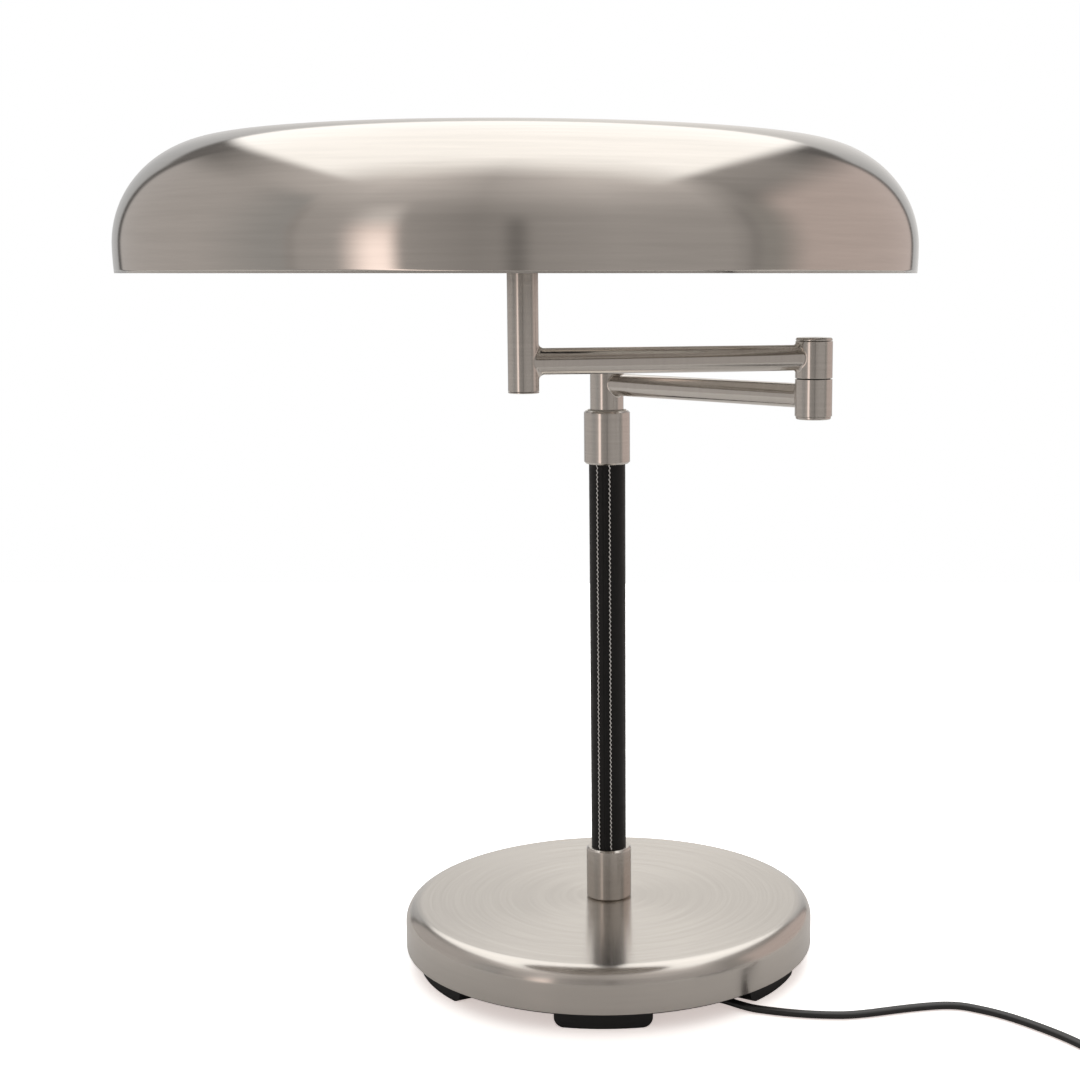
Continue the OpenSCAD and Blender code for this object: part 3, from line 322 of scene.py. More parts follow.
def sleeve_skin():
    """The sleeve: its radius, less the dip of the seam, and swaying by 0.02 mm like hand work.

    The dip is a bell curve of the distance round from the seam, and a shallower one at each row
    of stitches. The bore is a plain cylinder.
    """
    edge = 0.0002
    t = np.linspace(0, 2 * np.pi, 289) + np.pi / 2
    z = np.concatenate([[SLEEVE_FOOT], np.linspace(SLEEVE_FOOT + edge, SLEEVE_HEAD - edge, 140),
                        [SLEEVE_HEAD]])
    away = ((t - SEAM + np.pi) % (2 * np.pi) - np.pi) * SLEEVE_MEAN
    dip = 0.00030 * np.exp(-(away / 0.00022) ** 2)
    for side in (-1, 1):
        dip = dip + 0.00010 * np.exp(-((away - side * STITCH_OFF) / 0.0006) ** 2)
    sway = 0.00002 * np.sin(z[:, None] * 900 + 3 * t) * np.sin(z[:, None] * 370)
    r = sleeve_radius(z)[:, None] - dip[None] + sway
    r[:, -1] = r[:, 0]
    points = np.stack([r * np.cos(t), r * np.sin(t), z[:, None] + 0 * t], -1)
    uv = np.stack(np.broadcast_arrays(z[:, None], t * SLEEVE_MEAN), -1)
    bore = points[[-1, 0]]
    bore[..., :2] *= (SLEEVE_BORE / np.linalg.norm(bore[..., :2], axis=-1))[..., None]
    return np.concatenate([points, bore, points[:1]]), np.concatenate([uv, uv[[-1, 0, 0]]])


piece("sleeve_leather", [sleeve_skin()], grained_leather(), "stand", ["leather_sleeve"])


def stitches(side, row=0.2100, pitch=0.0024, length=0.0026, thick=0.00029, sway=0.00027):
    """A row of stitches: each is a rod along the stem that sways once and dives at its ends.

    Along s from -1 to 1 the rod's centre stands sway times the sine of half a turn times s to
    one side, and 0.1 mm over the leather, less 0.2 mm times s to the fourth. Its section is a
    circle that closes at both ends.
    """
    foot = SLEEVE_FOOT + 0.0002 + pitch * np.arange(int(row / pitch))[:, None, None]
    s = np.linspace(-1, 1, 13)[None, :, None]
    a = np.linspace(0, 2 * np.pi, 9)[None, None, :]
    thin = thick * np.sqrt(np.clip(1 - s ** 6, 0, 1))
    turn = SEAM + (side * STITCH_OFF - sway * np.sin(np.pi * s) + thin * np.cos(a)) / SLEEVE_MEAN
    middle = foot + length / 2 * (s + 1)
    out = sleeve_radius(middle) + 0.0001 - 0.0002 * s ** 4 + thin * np.sin(a)
    points = np.stack(np.broadcast_arrays(out * np.cos(turn), out * np.sin(turn), middle + 0 * a),
                      -1)
    uv = np.stack(np.broadcast_arrays(middle, a * thick), -1)
    return [(p[::-1], q[::-1]) for p, q in zip(points, uv)]


def waxed_thread():
    """Off-white thread: fine slanted bands across its length are the twist."""
    finish, tree, shader = fresh("stitch_thread")
    spread = add(tree, "UVMap", uv_map="UVMap").outputs["UV"]
    bands = add(tree, "TexWave", {"Vector": spread, "Scale": 620.0, "Distortion": 1.0},
                bands_direction="DIAGONAL").outputs["Fac"]
    wire(tree, ramp(tree, bands, [(0.1, (0.74, 0.74, 0.73)), (0.8, (0.95, 0.95, 0.93))]),
         shader.inputs["Base Color"])
    shader.inputs["Roughness"].default_value = 0.6
    bump = add(tree, "Bump", {"Strength": 0.5, "Distance": 0.00005, "Height": bands})
    wire(tree, bump.outputs["Normal"], shader.inputs["Normal"])
    return finish


piece("sleeve_stitches", stitches(-1) + stitches(1), waxed_thread(), "stand")


# ---- Collars ----
# Two turned rings that hold the ends of the sleeve, nickel plated over brass.
# Ground round and bevelled at both ends, so that each shows a thin bright edge.
post_nickel = brushed_nickel("post_nickel", rough=0.20, stretch=0.90, grain=1400.0, depth=0.0012)


def collar_line(foot):
    """A ring's outline from its inner foot round the outside and back, bevelled by 1 mm."""
    head, outer, bevel, seam = foot + 0.028, 0.01215, 0.001, SLEEVE_BORE + 0.0001
    return eased([(seam, foot, 0), (outer - bevel, foot, 0.0003), (outer, foot + bevel, 0.0004),
                  (outer, head - bevel, 0.0004), (outer - bevel, head, 0.0003),
                  (SLEEVE_BORE, head, 0.0002), (SLEEVE_BORE, foot, 0.0001), (seam, foot, 0)])


piece("lower_collar_ring", [turned(collar_line(BASE_TOP))], post_nickel, "stand",
      ["lower_collar"])
piece("upper_collar_ring", [turned(collar_line(SLEEVE_HEAD))], post_nickel, "stand",
      ["upper_collar"])


# ---- Swivel post ----
# A solid turned post on a spigot that turns in the stem's nylon bush, held by a spring clip.
# The lower arm is welded to it. Its top is bevelled and passes 2 mm under the upper arm.
SWIVEL_R = 0.0088
swivel_line = eased([
    (0.0, 0.2800, 0), (0.0055, 0.2800, 0.0002), (0.0055, 0.29845, 0.00005),
    (SWIVEL_R, 0.29845, 0.0002), (SWIVEL_R, 0.32126, 0.0003), (0.0080, 0.32206, 0.0003),
    (0.0, 0.32206, 0),
], steps=4, lip=0.0001)
piece("swivel_post_turned", [turned(swivel_line)], post_nickel, "lower_arm",
      ["swivel_post"])
dress(dull("bush_nylon", (0.72, 0.70, 0.64), 0.45, 0.0005, 0.1, sway=0.03), "bush_nylon",
      "swivel_bush")
dress(zinc, "zinc_steel", "swivel_clip")


# ---- Arms ----
# Two level tubes cut to the round posts that they meet, with a hollow weld at each end.
# The welds are ground smooth before plating, and the lower arm's are the smaller ones.
ELBOW = np.array([0.100538, -0.097428])
LOWER_TURN, UPPER_TURN = np.radians(-44.1), np.radians(197.6)
ARM_LONG, KNUCKLE_R, SHADE_POST_R = 0.140, 0.00885, 0.0070
arm_nickel = brushed_nickel("arm_nickel", rough=0.17, stretch=0.5, grain=1400.0, depth=0.0012)


def arm(spot, height, turn, length, radius, posts, welds):
    """A level tube between two upright posts, with a weld where it meets each.

    Round the tube by a, its side is at y = radius cos a and z = radius sin a. It ends where
    x = sqrt(post^2 - y^2). A weld is the surface of a ball that rolls in the corner: the ball's
    centre is at y = (radius + ball) cos a, x = sqrt((post + ball)^2 - y^2).
    """
    a = np.linspace(0, 2 * np.pi, 73) + np.pi / 2

    def end(post, ball):
        """The weld at one end, from the post to the tube, as arcs of the ball."""
        y, z = (radius + ball) * np.cos(a), (radius + ball) * np.sin(a)
        x = np.sqrt((post + ball) ** 2 - y ** 2)
        centre = np.stack([x, y, z], -1)[None]
        to_tube = -np.stack([0 * a, np.cos(a), np.sin(a)], -1)
        to_post = -np.stack([x, y, 0 * a], -1) / (post + ball)
        sweep = np.arccos((to_tube * to_post).sum(-1))[:, None]
        s = np.linspace(1, 0, 11)[:, None, None]
        way = (np.sin(sweep * (1 - s)) * to_tube + np.sin(sweep * s) * to_post) / np.sin(sweep)
        return centre + ball * way

    near, far = end(posts[0], welds[0]), end(posts[1], welds[1])[::-1]
    far = far * [-1, 1, 1] + [length, 0, 0]
    s = np.array([0.02, 0.25, 0.5, 0.75, 0.98])[:, None, None]
    middle = near[-1:] * (1 - s) + far[:1] * s
    local = np.concatenate([near, middle, far])
    along, side = np.array([np.cos(turn), np.sin(turn)]), np.array([-np.sin(turn), np.cos(turn)])
    flat = spot + local[..., :1] * along + local[..., 1:2] * side
    points = np.concatenate([flat, local[..., 2:] + height], -1)
    uv = np.stack(np.broadcast_arrays(local[..., 0], a * radius), -1)
    return points, uv


piece("lower_arm_skin", [arm(np.zeros(2), 0.3118, LOWER_TURN, ARM_LONG, 0.0058,
                             (SWIVEL_R, KNUCKLE_R), (0.0012, 0.0012))],
      arm_nickel, "lower_arm", ["lower_arm_tube", "lower_arm_welds"])
piece("upper_arm_skin", [arm(ELBOW, 0.33006, UPPER_TURN, ARM_LONG, 0.0060,
                             (KNUCKLE_R, SHADE_POST_R), (0.0016, 0.0025))],
      arm_nickel, "upper_arm", ["upper_arm_tube", "arm_welds"])
dress(lead_sheath, "lead_white", "lower_arm_lead", "upper_arm_lead")


# ---- Elbow ----
# Two knuckles on a hollow brass pivot that the lead passes through, with a nylon washer between.
# A spring washer and a nut hold them, a smaller cap closes the lower one, a flush cap the upper.
def ring_line(inner, outer, foot, head, ease):
    """A plain ring's outline with both outer edges eased."""
    return eased([(inner, foot, 0), (outer, foot, ease), (outer, head, ease), (inner, head, 0),
                  (inner, foot, 0)], lip=0.0001)


def cap_line(outer, foot, head, low, high):
    """A disc's outline with its lower and upper edges eased by different radii."""
    return eased([(0, foot, 0), (outer, foot, low), (outer, head, high), (0, head, 0)],
                 lip=0.0001)


piece("lower_knuckle_ring",
      [turned(ring_line(0.00502, KNUCKLE_R, 0.3025, 0.3200, 0.0002), *ELBOW)],
      post_nickel, "lower_arm", ["lower_knuckle"])
piece("foot_cap", [turned(cap_line(0.00835, 0.3010, 0.3024, 0.0007, 0.0001), *ELBOW)],
      post_nickel, "lower_arm", ["knuckle_foot_cap"])
piece("upper_knuckle_ring",
      [turned(ring_line(0.0071, KNUCKLE_R, 0.3204, 0.3378, 0.0003), *ELBOW)],
      post_nickel, "upper_arm", ["upper_knuckle"])
piece("top_cap", [turned(cap_line(0.00870, 0.3380, 0.3394, 0.0002, 0.0009), *ELBOW)],
      post_nickel, "upper_arm", ["knuckle_top_cap"])
dress(brass, "brass", "elbow_pivot", "pivot_nut")
dress(dull("washer_nylon", (0.02, 0.02, 0.02), 0.5, 0.0005, 0.1, sway=0.1), "bush_nylon",
      "elbow_washer")
dress(zinc, "zinc_steel", "spring_washer")


# ---- Shade post ----
# A nickel plated tube from the upper arm to the zinc plated disc under the crown.
# A thin pressed cap closes it below.
POST = np.array([-0.032909, -0.139760])
piece("shade_post_tube",
      [turned(ring_line(0.0058, SHADE_POST_R, 0.31686, 0.42322, 0.0002), *POST)],
      post_nickel, "upper_arm", ["shade_post"])
piece("post_cap", [turned(cap_line(SHADE_POST_R, 0.31606, 0.31670, 0.0003, 0.0001), *POST)],
      post_nickel, "upper_arm", ["post_end_cap"])
dress(zinc, "zinc_steel", "shade_hub")


# ---- Shade ----
# Spun from 1 mm sheet: a skirt, a quarter round shoulder and a nearly flat crown.
# Its rim is rolled inwards to a bead. Brushed on the lathe, inside and out, and nickel plated.
def dome_line(wall):
    """Half outline from rim to crown, worked out in millimetres and moved in by wall.

    The skirt draws in 0.45 mm at the rim. The shoulder is a quarter ellipse, 48.6 mm wide and
    45.9 mm high, and the crown a parabola that meets it at a slope of 3.9 degrees.
    """
    wide, high, slope = 48.6, 45.9, np.radians(3.9)
    rim, bend, middle = 369.26, 380.36, 125.65
    join = np.arctan(wide / high * np.tan(slope))
    s = np.linspace(0, 1, 8)
    skirt = np.stack([middle + wide - wall - 0.45 * (1 - s) ** 2, rim + (bend - rim) * s], 1)
    a = np.linspace(np.pi / 2, join, 64)[1:]
    shoulder = np.stack([middle + (wide - wall) * np.sin(a), bend + (high - wall) * np.cos(a)], 1)
    radius = middle + wide * np.sin(join)
    rise = radius * np.tan(slope) / 2
    k = np.linspace(1, 0, 40)[1:]
    crown = np.stack([radius * k, bend + high * np.cos(join) - wall + rise * (1 - k * k)], 1)
    return np.concatenate([skirt, shoulder, crown]) / 1000


shade_nickel = brushed_nickel("shade_nickel", rough=0.10, stretch=0.4, grain=420.0, depth=0.003)
BEAD_R, BEAD_MIDDLE, BEAD_TOP = 0.0012, (0.17260, 0.37046), (0.17265, 0.37166)
bead_turn = 0.2 + np.linspace(0, -1.4 * np.pi, 15)[3:, None]
rolled_bead = BEAD_MIDDLE + BEAD_R * np.concatenate([-np.cos(bead_turn), np.sin(bead_turn)], 1)
dome_outside = dome_line(0)
dome_inside = dome_line(1.0)[::-1]
dome = np.concatenate([dome_outside, dome_inside[:-1], [BEAD_TOP], rolled_bead,
                       dome_outside[:1]])
piece("shade_spun", [turned(dome, *POST, parts=300)], shade_nickel, "upper_arm", ["shade"])


# ---- Lampholders and bulbs ----
# Two black moulded lampholders on a threaded brass tube, each with a frosted candle bulb.
# They lie level under the crown, where only a view from below shows them.
CROSS_Z = 0.39996
dress(brass, "brass", "cross_tube")


def level(outline, side):
    """Outline (radius r, distance d from the post) turned round the cross tube's line.

    Point = (post + side d, post + side r cos t, tube + r sin t), with side -1 to the left.
    """
    t = np.linspace(0, 2 * np.pi, 73)
    r, d = outline[:, 0, None], outline[:, 1, None]
    points = np.stack([POST[0] + side * d + 0 * t, POST[1] + side * r * np.cos(t),
                       CROSS_Z + r * np.sin(t)], -1)
    uv = np.stack(np.broadcast_arrays(distance(outline)[:, None], t * outline[:, 0].max()), -1)
    return points, uv


holder_line = eased([
    (0.00502, 0.0120, 0), (0.0095, 0.0120, 0.0006), (0.0115, 0.0160, 0.0010),
    (0.0115, 0.0260, 0.0004), (0.0125, 0.0270, 0.0004), (0.0125, 0.0460, 0.0007),
    (0.0071, 0.0460, 0.0003), (0.0071, 0.0170, 0), (0.00502, 0.0170, 0), (0.00502, 0.0120, 0),
])
piece("holder_mouldings", [level(holder_line, side) for side in (-1, 1)],
      dull("holder_black", (0.016, 0.016, 0.017), 0.35, 0.0006, 0.15), "upper_arm",
      ["lampholders"])

# The cap's thread is six rings, 0.45 mm deep: the radius is a cosine of the way along it.
THREADS, THREAD_R, THREAD_DEEP, CAP_HEAD = 6, 0.0067, 0.00045, 0.0413
climb = np.linspace(0, 1, 121)
thread = THREAD_R - THREAD_DEEP * (1 - np.cos(2 * np.pi * THREADS * climb)) / 2
cap_thread = np.concatenate([[[0, 0.0173], [0.0025, 0.0173], [0.0060, 0.0213]],
                             np.stack([thread, 0.0215 + 0.0195 * climb], 1), [[0, CAP_HEAD]]])
piece("bulb_screw_caps", [level(cap_thread, side) for side in (-1, 1)], brass, "upper_arm",
      ["bulb_caps"])

# The glass swells from its neck as a power of a sine, and closes in a blunt tip.
NECK_R, GLASS_R, GLASS_FOOT, GLASS_LONG = 0.0065, 0.0175, 0.0473, 0.070
k = np.linspace(0, 1, 60)
swell = np.maximum(0, np.sin(np.pi * k ** 0.85))
glass_line = np.stack([NECK_R * (1 - k) * (1 - swell) + GLASS_R * swell ** 0.75,
                       GLASS_FOOT + GLASS_LONG * k], 1)
glass_line[-1, 0] = 0
glass_line = np.concatenate([[[0, CAP_HEAD], [NECK_R, CAP_HEAD]], glass_line])
frosted = dull("frosted_glass", (0.86, 0.85, 0.81), 0.32, 0.0009, 0.06, sway=0.02)
frosted.node_tree.nodes["Principled BSDF"].inputs["Coat Weight"].default_value = 0.3
piece("bulb_glasses", [level(glass_line, side) for side in (-1, 1)], frosted, "upper_arm",
      ["bulbs"])


# ---- Cord to the switch ----
# Flat twin lead in black sheath, with a groove along it between the two cores.
# It leaves the gland in the bottom plate through a tapered relief, and lies on the table up to
# the switch, whose two halves and rocker are moulded in black plastic.
CORD_W, CORD_T = 0.0054, 0.0032

# Places on the lead's middle line, in millimetres, from the gland to the switch
lead_route = np.array([
    [51, -73, 4.6], [56.5, -75, 4.6], [62, -77, 4], [68, -79, 2.8], [75, -81.5, 1.9],
    [83, -84, 1.7], [92, -86.5, 1.7], [102, -88.5, 1.7], [112, -89.5, 1.7],
    [122, -89.5, 1.7], [132, -87.5, 1.7], [142, -84.5, 1.7], [152, -81.5, 1.7],
    [162, -79, 1.7], [172, -77.5, 1.7], [181, -78.5, 1.7], [190, -83, 1.7],
    [199, -89, 1.7], [207.5, -96.5, 1.7], [216, -105.5, 1.7], [224, -115, 1.7],
    [231, -125, 1.7], [237, -135, 1.7], [241.5, -144, 2.2], [244.5, -153, 4],
    [246, -161, 6.2], [246, -166, 7], [246, -171, 7],
]) / 1000


def smoothed(route, steps=5):
    """A smooth line through every point of a route, cut in steps between neighbours.

    Between two points it is a cubic whose slopes follow the points before and after.
    """
    ends = np.concatenate([2 * route[:1] - route[1:2], route, 2 * route[-1:] - route[-2:-1]])
    a, b, c, d = (ends[i:len(ends) - 3 + i, None] for i in range(4))
    s = np.linspace(0, 1, steps, endpoint=False)[None, :, None]
    line = (b + (c - a) / 2 * s + (a - 2.5 * b + 2 * c - d / 2) * s ** 2
            + (-a + 3 * b - 3 * c + d) / 2 * s ** 3)
    return np.concatenate([line.reshape(-1, 3), route[-1:]])


def flat_lead(line, sides=32):
    """Flat twin lead along a line: its section is an oval, drawn in at the middle of both faces.

    At a turn a round the section it is half the width times cos a to the power 0.8 to the side,
    and half the thickness times sin a to that power up. A narrow bell where cos a is near
    nought is taken off the thickness, and makes the groove.
    """
    power, groove_deep, groove_wide = 0.8, 0.16, 0.16
    way = np.gradient(line, axis=0)
    way /= np.linalg.norm(way, axis=1)[:, None]
    side = np.cross([0, 0, 1], way)
    side /= np.linalg.norm(side, axis=1)[:, None]
    over = np.cross(way, side)
    a = np.linspace(0, 2 * np.pi, sides + 1)
    wide = np.sign(np.cos(a)) * np.abs(np.cos(a)) ** power * CORD_W / 2
    groove = 1 - groove_deep * np.exp(-(np.cos(a) / groove_wide) ** 2)
    thick = np.sign(np.sin(a)) * np.abs(np.sin(a)) ** power * CORD_T / 2 * groove
    rings = (line[:, None] + wide[None, :, None] * side[:, None]
             + thick[None, :, None] * over[:, None])
    points = np.concatenate([np.repeat(line[:1, None], sides + 1, 1), rings,
                             np.repeat(line[-1:, None], sides + 1, 1)])
    along = np.pad(distance(line), 1, "edge")
    uv = np.stack(np.broadcast_arrays(along[:, None], a * CORD_W / 2), -1)
    return points, uv


def sheath():
    """Black soft plastic: satin, with faint marks of the die along it and a fine matt grain."""
    finish, tree, shader = fresh("cord_sheath")
    spread = add(tree, "UVMap", uv_map="UVMap").outputs["UV"]
    drawn = add(tree, "VectorMath", {0: spread, 1: (30, 2500, 0)}, operation="MULTIPLY")
    lines = add(tree, "TexNoise", {"Vector": drawn.outputs[0], "Scale": 1.0, "Detail": 3.0})
    grain = add(tree, "TexNoise", {"Vector": add(tree, "TexCoord").outputs["Object"],
                                   "Scale": 1800.0, "Detail": 3.0})
    wire(tree, ramp(tree, grain.outputs["Fac"], [(0.3, (0.010, 0.010, 0.0105)),
                                                 (0.7, (0.016, 0.016, 0.0165))]),
         shader.inputs["Base Color"])
    gloss = add(tree, "MapRange", {"Value": lines.outputs["Fac"], "From Min": 0.3,
                                   "From Max": 0.7, "To Min": 0.33, "To Max": 0.46})
    wire(tree, gloss.outputs["Result"], shader.inputs["Roughness"])
    bump = add(tree, "Bump", {"Strength": 0.2, "Distance": 0.00005,
                              "Height": lines.outputs["Fac"]})
    wire(tree, bump.outputs["Normal"], shader.inputs["Normal"])
    return finish


cord_black = sheath()
lead_line = smoothed(lead_route)
lead = piece("cord_to_switch", [flat_lead(lead_line)], cord_black, "stand", ["cord_lead"])
moulded = dull("moulded_black", (0.014, 0.014, 0.0145), 0.4, 0.0007, 0.2)
dress(moulded, "switch_black", "switch_base", "switch_cover")
dress(dull("rocker_black", (0.019, 0.019, 0.020), 0.28, 0.0007, 0.1), "switch_black",
      "switch_rocker")
dress(moulded, "cord_black", "cord_relief", "cord_gland")


# ---- Coil and plug ----
# The rest of the cord: out of the switch, wound in four layers, and out to the plug.
# A strap holds the turns together, and the plug lies beside them with its two pins.

# Places on the middle lines before and after the coil, in millimetres
link_route = np.array([
    [246, -227, 7], [246, -232, 7], [246, -238, 6], [246, -244, 4],
    [246, -250, 2.8], [246, -253, 2.6], [246, -256, 2.6],
]) / 1000
tail_route = np.array([
    [316, -256, 13.7], [316, -250, 13.7], [316, -243, 12.8], [316, -235, 11],
    [316, -227, 9], [316, -220, 7.5], [316, -216, 6.9], [316, -211, 6.9],
]) / 1000


def wound(turns=7.5, layers=4, per_turn=60):
    """The coil's line: in and out between radius 35 and 23.75 mm, one layer each way.

    The radius falls and climbs at a steady rate, and in the half turn round each reversal the
    line climbs to the next layer, 3.7 mm up.
    """
    x, y, outer, draw_in, foot, rise = 0.281, -0.262, 0.035, 0.01125, 0.0026, 0.0037
    turn = np.linspace(0, turns, int(turns * per_turn) + 1)
    layer = turns / layers
    radius = outer - draw_in * (1 - np.abs((turn / layer) % 2 - 1))
    height = foot + rise * sum(np.clip(2 * (turn - n * layer) + 0.5, 0, 1)
                               for n in range(1, layers))
    angle = np.pi + 2 * np.pi * turn
    return np.stack([x + radius * np.cos(angle), y + radius * np.sin(angle), height], 1)


rest_line = np.concatenate([smoothed(link_route), wound(), smoothed(tail_route)])
rest = piece("cord_coiled", [flat_lead(rest_line)], cord_black, "stand",
             ["cord_link", "cord_coil", "cord_tail"])
dress(dull("tie_black", (0.02, 0.02, 0.02), 0.7, 0.0006, 0.5), "tie_black", "cord_tie")
dress(moulded, "plug_black", "plug_body")
dress(dull("pin_nickel", (0.62, 0.60, 0.57), 0.22, 0.0005, 0.05, metal=1.0, sway=0.04),
      "pin_nickel", "plug_pins")


# ---- Table, light and camera ----
# A white table in a light tent: a sheet overhead, a screen at each side and a grey one behind.
# A tall lamp to the left of the camera shows as a warm upright band.
# The tent is painted on the world by direction, and the camera itself sees plain white there.
table_mesh = bpy.data.meshes.new("table")
table_mesh.from_pydata([(-0.9, -0.4, 0), (0.9, -0.4, 0), (0.9, 1.2, 0), (-0.9, 1.2, 0)], [],
                       [(0, 1, 2, 3)])
table = bpy.data.objects.new("table", table_mesh)
bpy.context.scene.collection.objects.link(table)


def seen_straight(tree):
    """One for a ray from the camera or through glass, nought for all others."""
    ray = add(tree, "LightPath").outputs
    return add(tree, "Math", {0: ray["Is Camera Ray"], 1: ray["Is Transmission Ray"]},
               operation="MAXIMUM").outputs[0]


table_white, tree, shader = fresh("table_white")
tree.nodes.remove(shader)
seen = seen_straight(tree)
paint = add(tree, "Mix", {"Factor": seen, "A": (0.72, 0.715, 0.71, 1), "B": (1.26, 1.38, 1.42, 1)},
            data_type="RGBA", clamp_factor=True).outputs[2]
matt = add(tree, "BsdfDiffuse", {"Color": paint})
glow = add(tree, "Emission", {"Color": (0.56, 0.49, 0.465, 1), "Strength": seen})
both = add(tree, "AddShader", {0: matt.outputs[0], 1: glow.outputs[0]})
wire(tree, both.outputs[0], tree.nodes["Material Output"].inputs["Surface"])
table_mesh.materials.append(table_white)

world = bpy.data.worlds.new("studio")
bpy.context.scene.world = world
world.use_nodes = True
tree = world.node_tree
tree.nodes.clear()
way = add(tree, "SeparateXYZ", {0: add(tree, "TexCoord").outputs["Generated"]})

# The background's strength. Brightness is given in units of white, and divided by it in a colour.
GAIN = 2.0
PLAIN, CREAM = (1, 1, 1), (1.02, 1, 0.98)
WARM, PINK = (1.05, 0.99, 0.95), (1.13, 0.965, 0.90)


def maths(kind, *values):
    """One Math node's result."""
    return add(tree, "Math", dict(enumerate(values)), operation=kind).outputs[0]


def step(value, low, high, start=0.0, end=1.0):
    """A smooth step from start at low to end at high."""
    return add(tree, "MapRange", {"Value": value, "From Min": low, "From Max": high,
                                  "To Min": start, "To Max": end},
               interpolation_type="SMOOTHSTEP").outputs["Result"]


def fall(value, low, high):
    """A smooth step from one at low down to nought at high."""
    return step(value, low, high, 1, 0)


def all_of(*covers):
    """The product of several covers."""
    part = covers[0]
    for cover in covers[1:]:
        part = maths("MULTIPLY", part, cover)
    return part


def band(value, low, high, soft):
    """One between low and high, nought outside, with edges twice soft wide."""
    return all_of(step(value, low - soft, low + soft), fall(value, high - soft, high + soft))


def tone(value, tint=PLAIN):
    """A shade from a brightness and a tint."""
    return tuple(value * c for c in tint)


def fade(value, low, high, stops):
    """A ramp over a value from low to high, whose stops are (value, brightness, tint)."""
    place = maths("DIVIDE", maths("SUBTRACT", value, low), high - low)
    return ramp(tree, place, [((at - low) / (high - low), tone(bright / GAIN, tint))
                              for at, bright, tint in stops])


def lay(under, over, cover):
    """A shade laid over another where cover is one."""
    under, over = (shade if isinstance(shade, bpy.types.NodeSocket)
                   else (*(c / GAIN for c in shade), 1) for shade in (under, over))
    return add(tree, "Mix", {"Factor": cover, "A": under, "B": over}, data_type="RGBA").outputs[2]


def screen(room, sides, soft, top, top_edge, dark, light, brighten):
    """A screen laid over the room, from a dark shade to a light one as the bearing goes on.

    Its top is a parabola of the bearing: the highest point's height, less the square of the
    turn from its bearing times a bend.
    """
    highest, middle, bend = top
    turn = maths("SUBTRACT", bearing, middle)
    edge = maths("SUBTRACT", highest, maths("MULTIPLY", maths("POWER", turn, 2.0), bend))
    cover = all_of(band(bearing, *sides, soft), fall(maths("SUBTRACT", height, edge), *top_edge))
    return lay(room, lay(dark, light, step(bearing, *brighten)), cover)


# Each direction has a height over the level and a bearing from the camera's side, both in
# degrees, and meets a level ceiling one unit up at over_x, over_y.
height = maths("DEGREES", maths("ARCSINE", way.outputs["Z"]))
bearing = maths("DEGREES", maths("ARCTAN2", way.outputs["X"],
                                 maths("MULTIPLY", way.outputs["Y"], -1.0)))
aside = maths("ABSOLUTE", bearing)
steep = maths("MAXIMUM", way.outputs["Z"], 0.02)
over_x = maths("DIVIDE", way.outputs["X"], steep)
over_y = maths("DIVIDE", way.outputs["Y"], steep)

# The room: dim round the camera and behind, paler towards the ceiling, with a dark line where
# the camera stands
round_about = fade(bearing, -180, 180, [(at, bright, WARM) for at, bright in (
    (-180, 0.15), (-150, 0.145), (-122, 0.27), (-95, 0.37), (-58, 0.46), (-46, 0.49),
    (-28, 0.42), (-8, 0.33), (14, 0.40), (30, 0.45), (62, 0.44), (80, 0.25), (125, 0.26),
    (156, 0.13), (180, 0.15))])
paler = step(height, 20.0, 62.0, 1.0, 1.7)
room = add(tree, "VectorMath", {0: round_about, "Scale": paler}, operation="SCALE").outputs[0]
room = lay(room, tone(0.13, WARM), all_of(band(bearing, 1.5, 4.5, 4.0),
                                          fall(height, 14.0, 30.0)))

# The side screens, whose tops curve, with a dark line at the upright edge nearest the camera
room = screen(room, sides=(-140.5, -61.0), soft=1.5, top=(43.5, -92.0, 0.0045),
              top_edge=(-8.0, 2.0), dark=(0.42, 0.41, 0.40), light=tone(0.52, WARM),
              brighten=(-62.0, -96.0))
room = screen(room, sides=(72.5, 150.5), soft=2.0, top=(38.5, 112.0, 0.006),
              top_edge=(-7.0, 7.0), dark=(0.38, 0.36, 0.34), light=tone(0.58, PINK),
              brighten=(76.0, 92.0))
for middle, bright in ((-59.5, 0.20), (70.0, 0.22)):
    room = lay(room, tone(bright, WARM), all_of(band(bearing, middle, middle, 3.0),
                                                fall(height, 24.0, 38.0)))

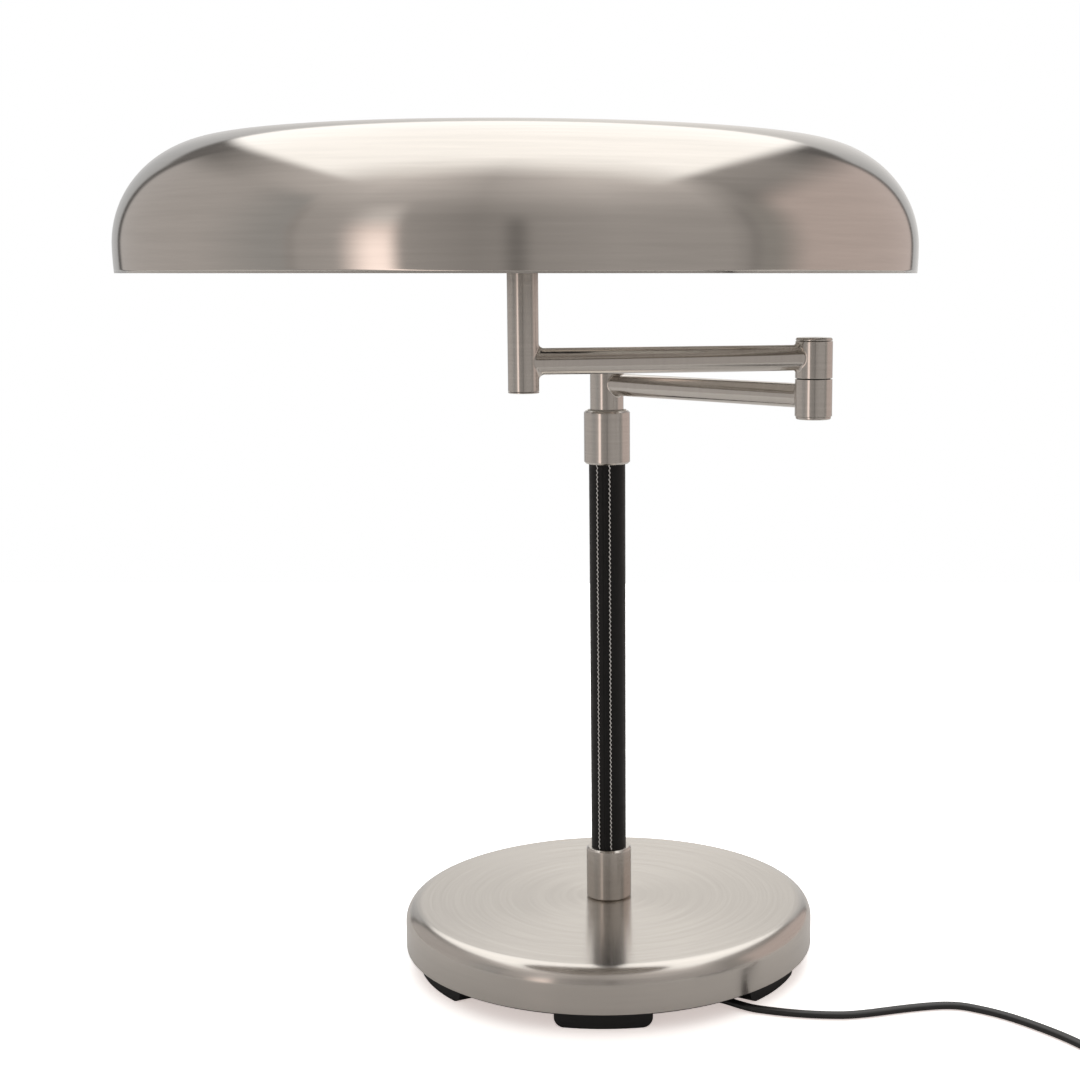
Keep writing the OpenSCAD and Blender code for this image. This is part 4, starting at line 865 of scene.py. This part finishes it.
# The grey screen behind, brighter towards its middle, with a dark seam at both sides
behind = fade(aside, 0, 180, ((145, 0.50, PLAIN), (156, 0.56, PLAIN), (166, 0.72, CREAM),
                              (180, 0.90, (1.03, 1, 0.96))))
behind_top = maths("ADD", maths("MULTIPLY", maths("SUBTRACT", aside, 155.0), 0.5), 27.0)
beyond = maths("MAXIMUM", step(bearing, -143.5, -145.5), step(bearing, 152.0, 154.0))
seams = maths("MAXIMUM", band(bearing, -143.0, -142.0, 2.0), band(bearing, 151.5, 152.0, 2.5))
room = lay(room, tone(0.02), all_of(seams, step(height, 5.0, 30.0, 1.0, 0.4)))
room = lay(room, behind, all_of(beyond, fall(maths("SUBTRACT", height, behind_top), -2.0, 2.0)))

# The tall lamp, and the white sheet overhead, which fades towards the camera
lamp = fade(height, -20, 70, ((-15.5, 1.65, PINK), (0, 1.40, PINK), (10, 1.10, PINK),
                              (22, 0.80, WARM), (35, 0.62, WARM), (70, 0.66, WARM)))
room = lay(room, lamp, all_of(step(bearing, -47.0, -34.5), fall(bearing, -32.5, -26.5),
                              fall(height, 30.0, 45.0)))
across = maths("ADD", over_x, maths("MULTIPLY", over_y, 0.055))
sheet = all_of(step(across, -0.775, -0.66), fall(across, 0.58, 0.715),
               step(over_y, -0.56, 0.06), fall(over_y, 1.66, 1.80))
room = lay(room, tone(1.6, (1.0, 0.985, 0.965)), sheet)

lit = add(tree, "Background", {"Color": room, "Strength": GAIN})
plain = add(tree, "Background", {"Color": (1, 1, 1, 1), "Strength": 1.0})
chosen = add(tree, "MixShader", {0: seen_straight(tree), 1: lit.outputs[0], 2: plain.outputs[0]})
add(tree, "OutputWorld", {"Surface": chosen.outputs[0]})

camera = bpy.data.cameras.new("camera")
camera.lens = 60.62
camera.sensor_width = 36.0
camera.shift_x = -0.1145
camera_object = bpy.data.objects.new("camera", camera)
bpy.context.scene.collection.objects.link(camera_object)
camera_object.location = (0.02986, -0.95621, 0.36929)
camera_object.rotation_euler = (np.radians(90 - 8.348), 0, 0)
bpy.context.scene.camera = camera_object
bpy.context.scene.view_settings.view_transform = "Standard"
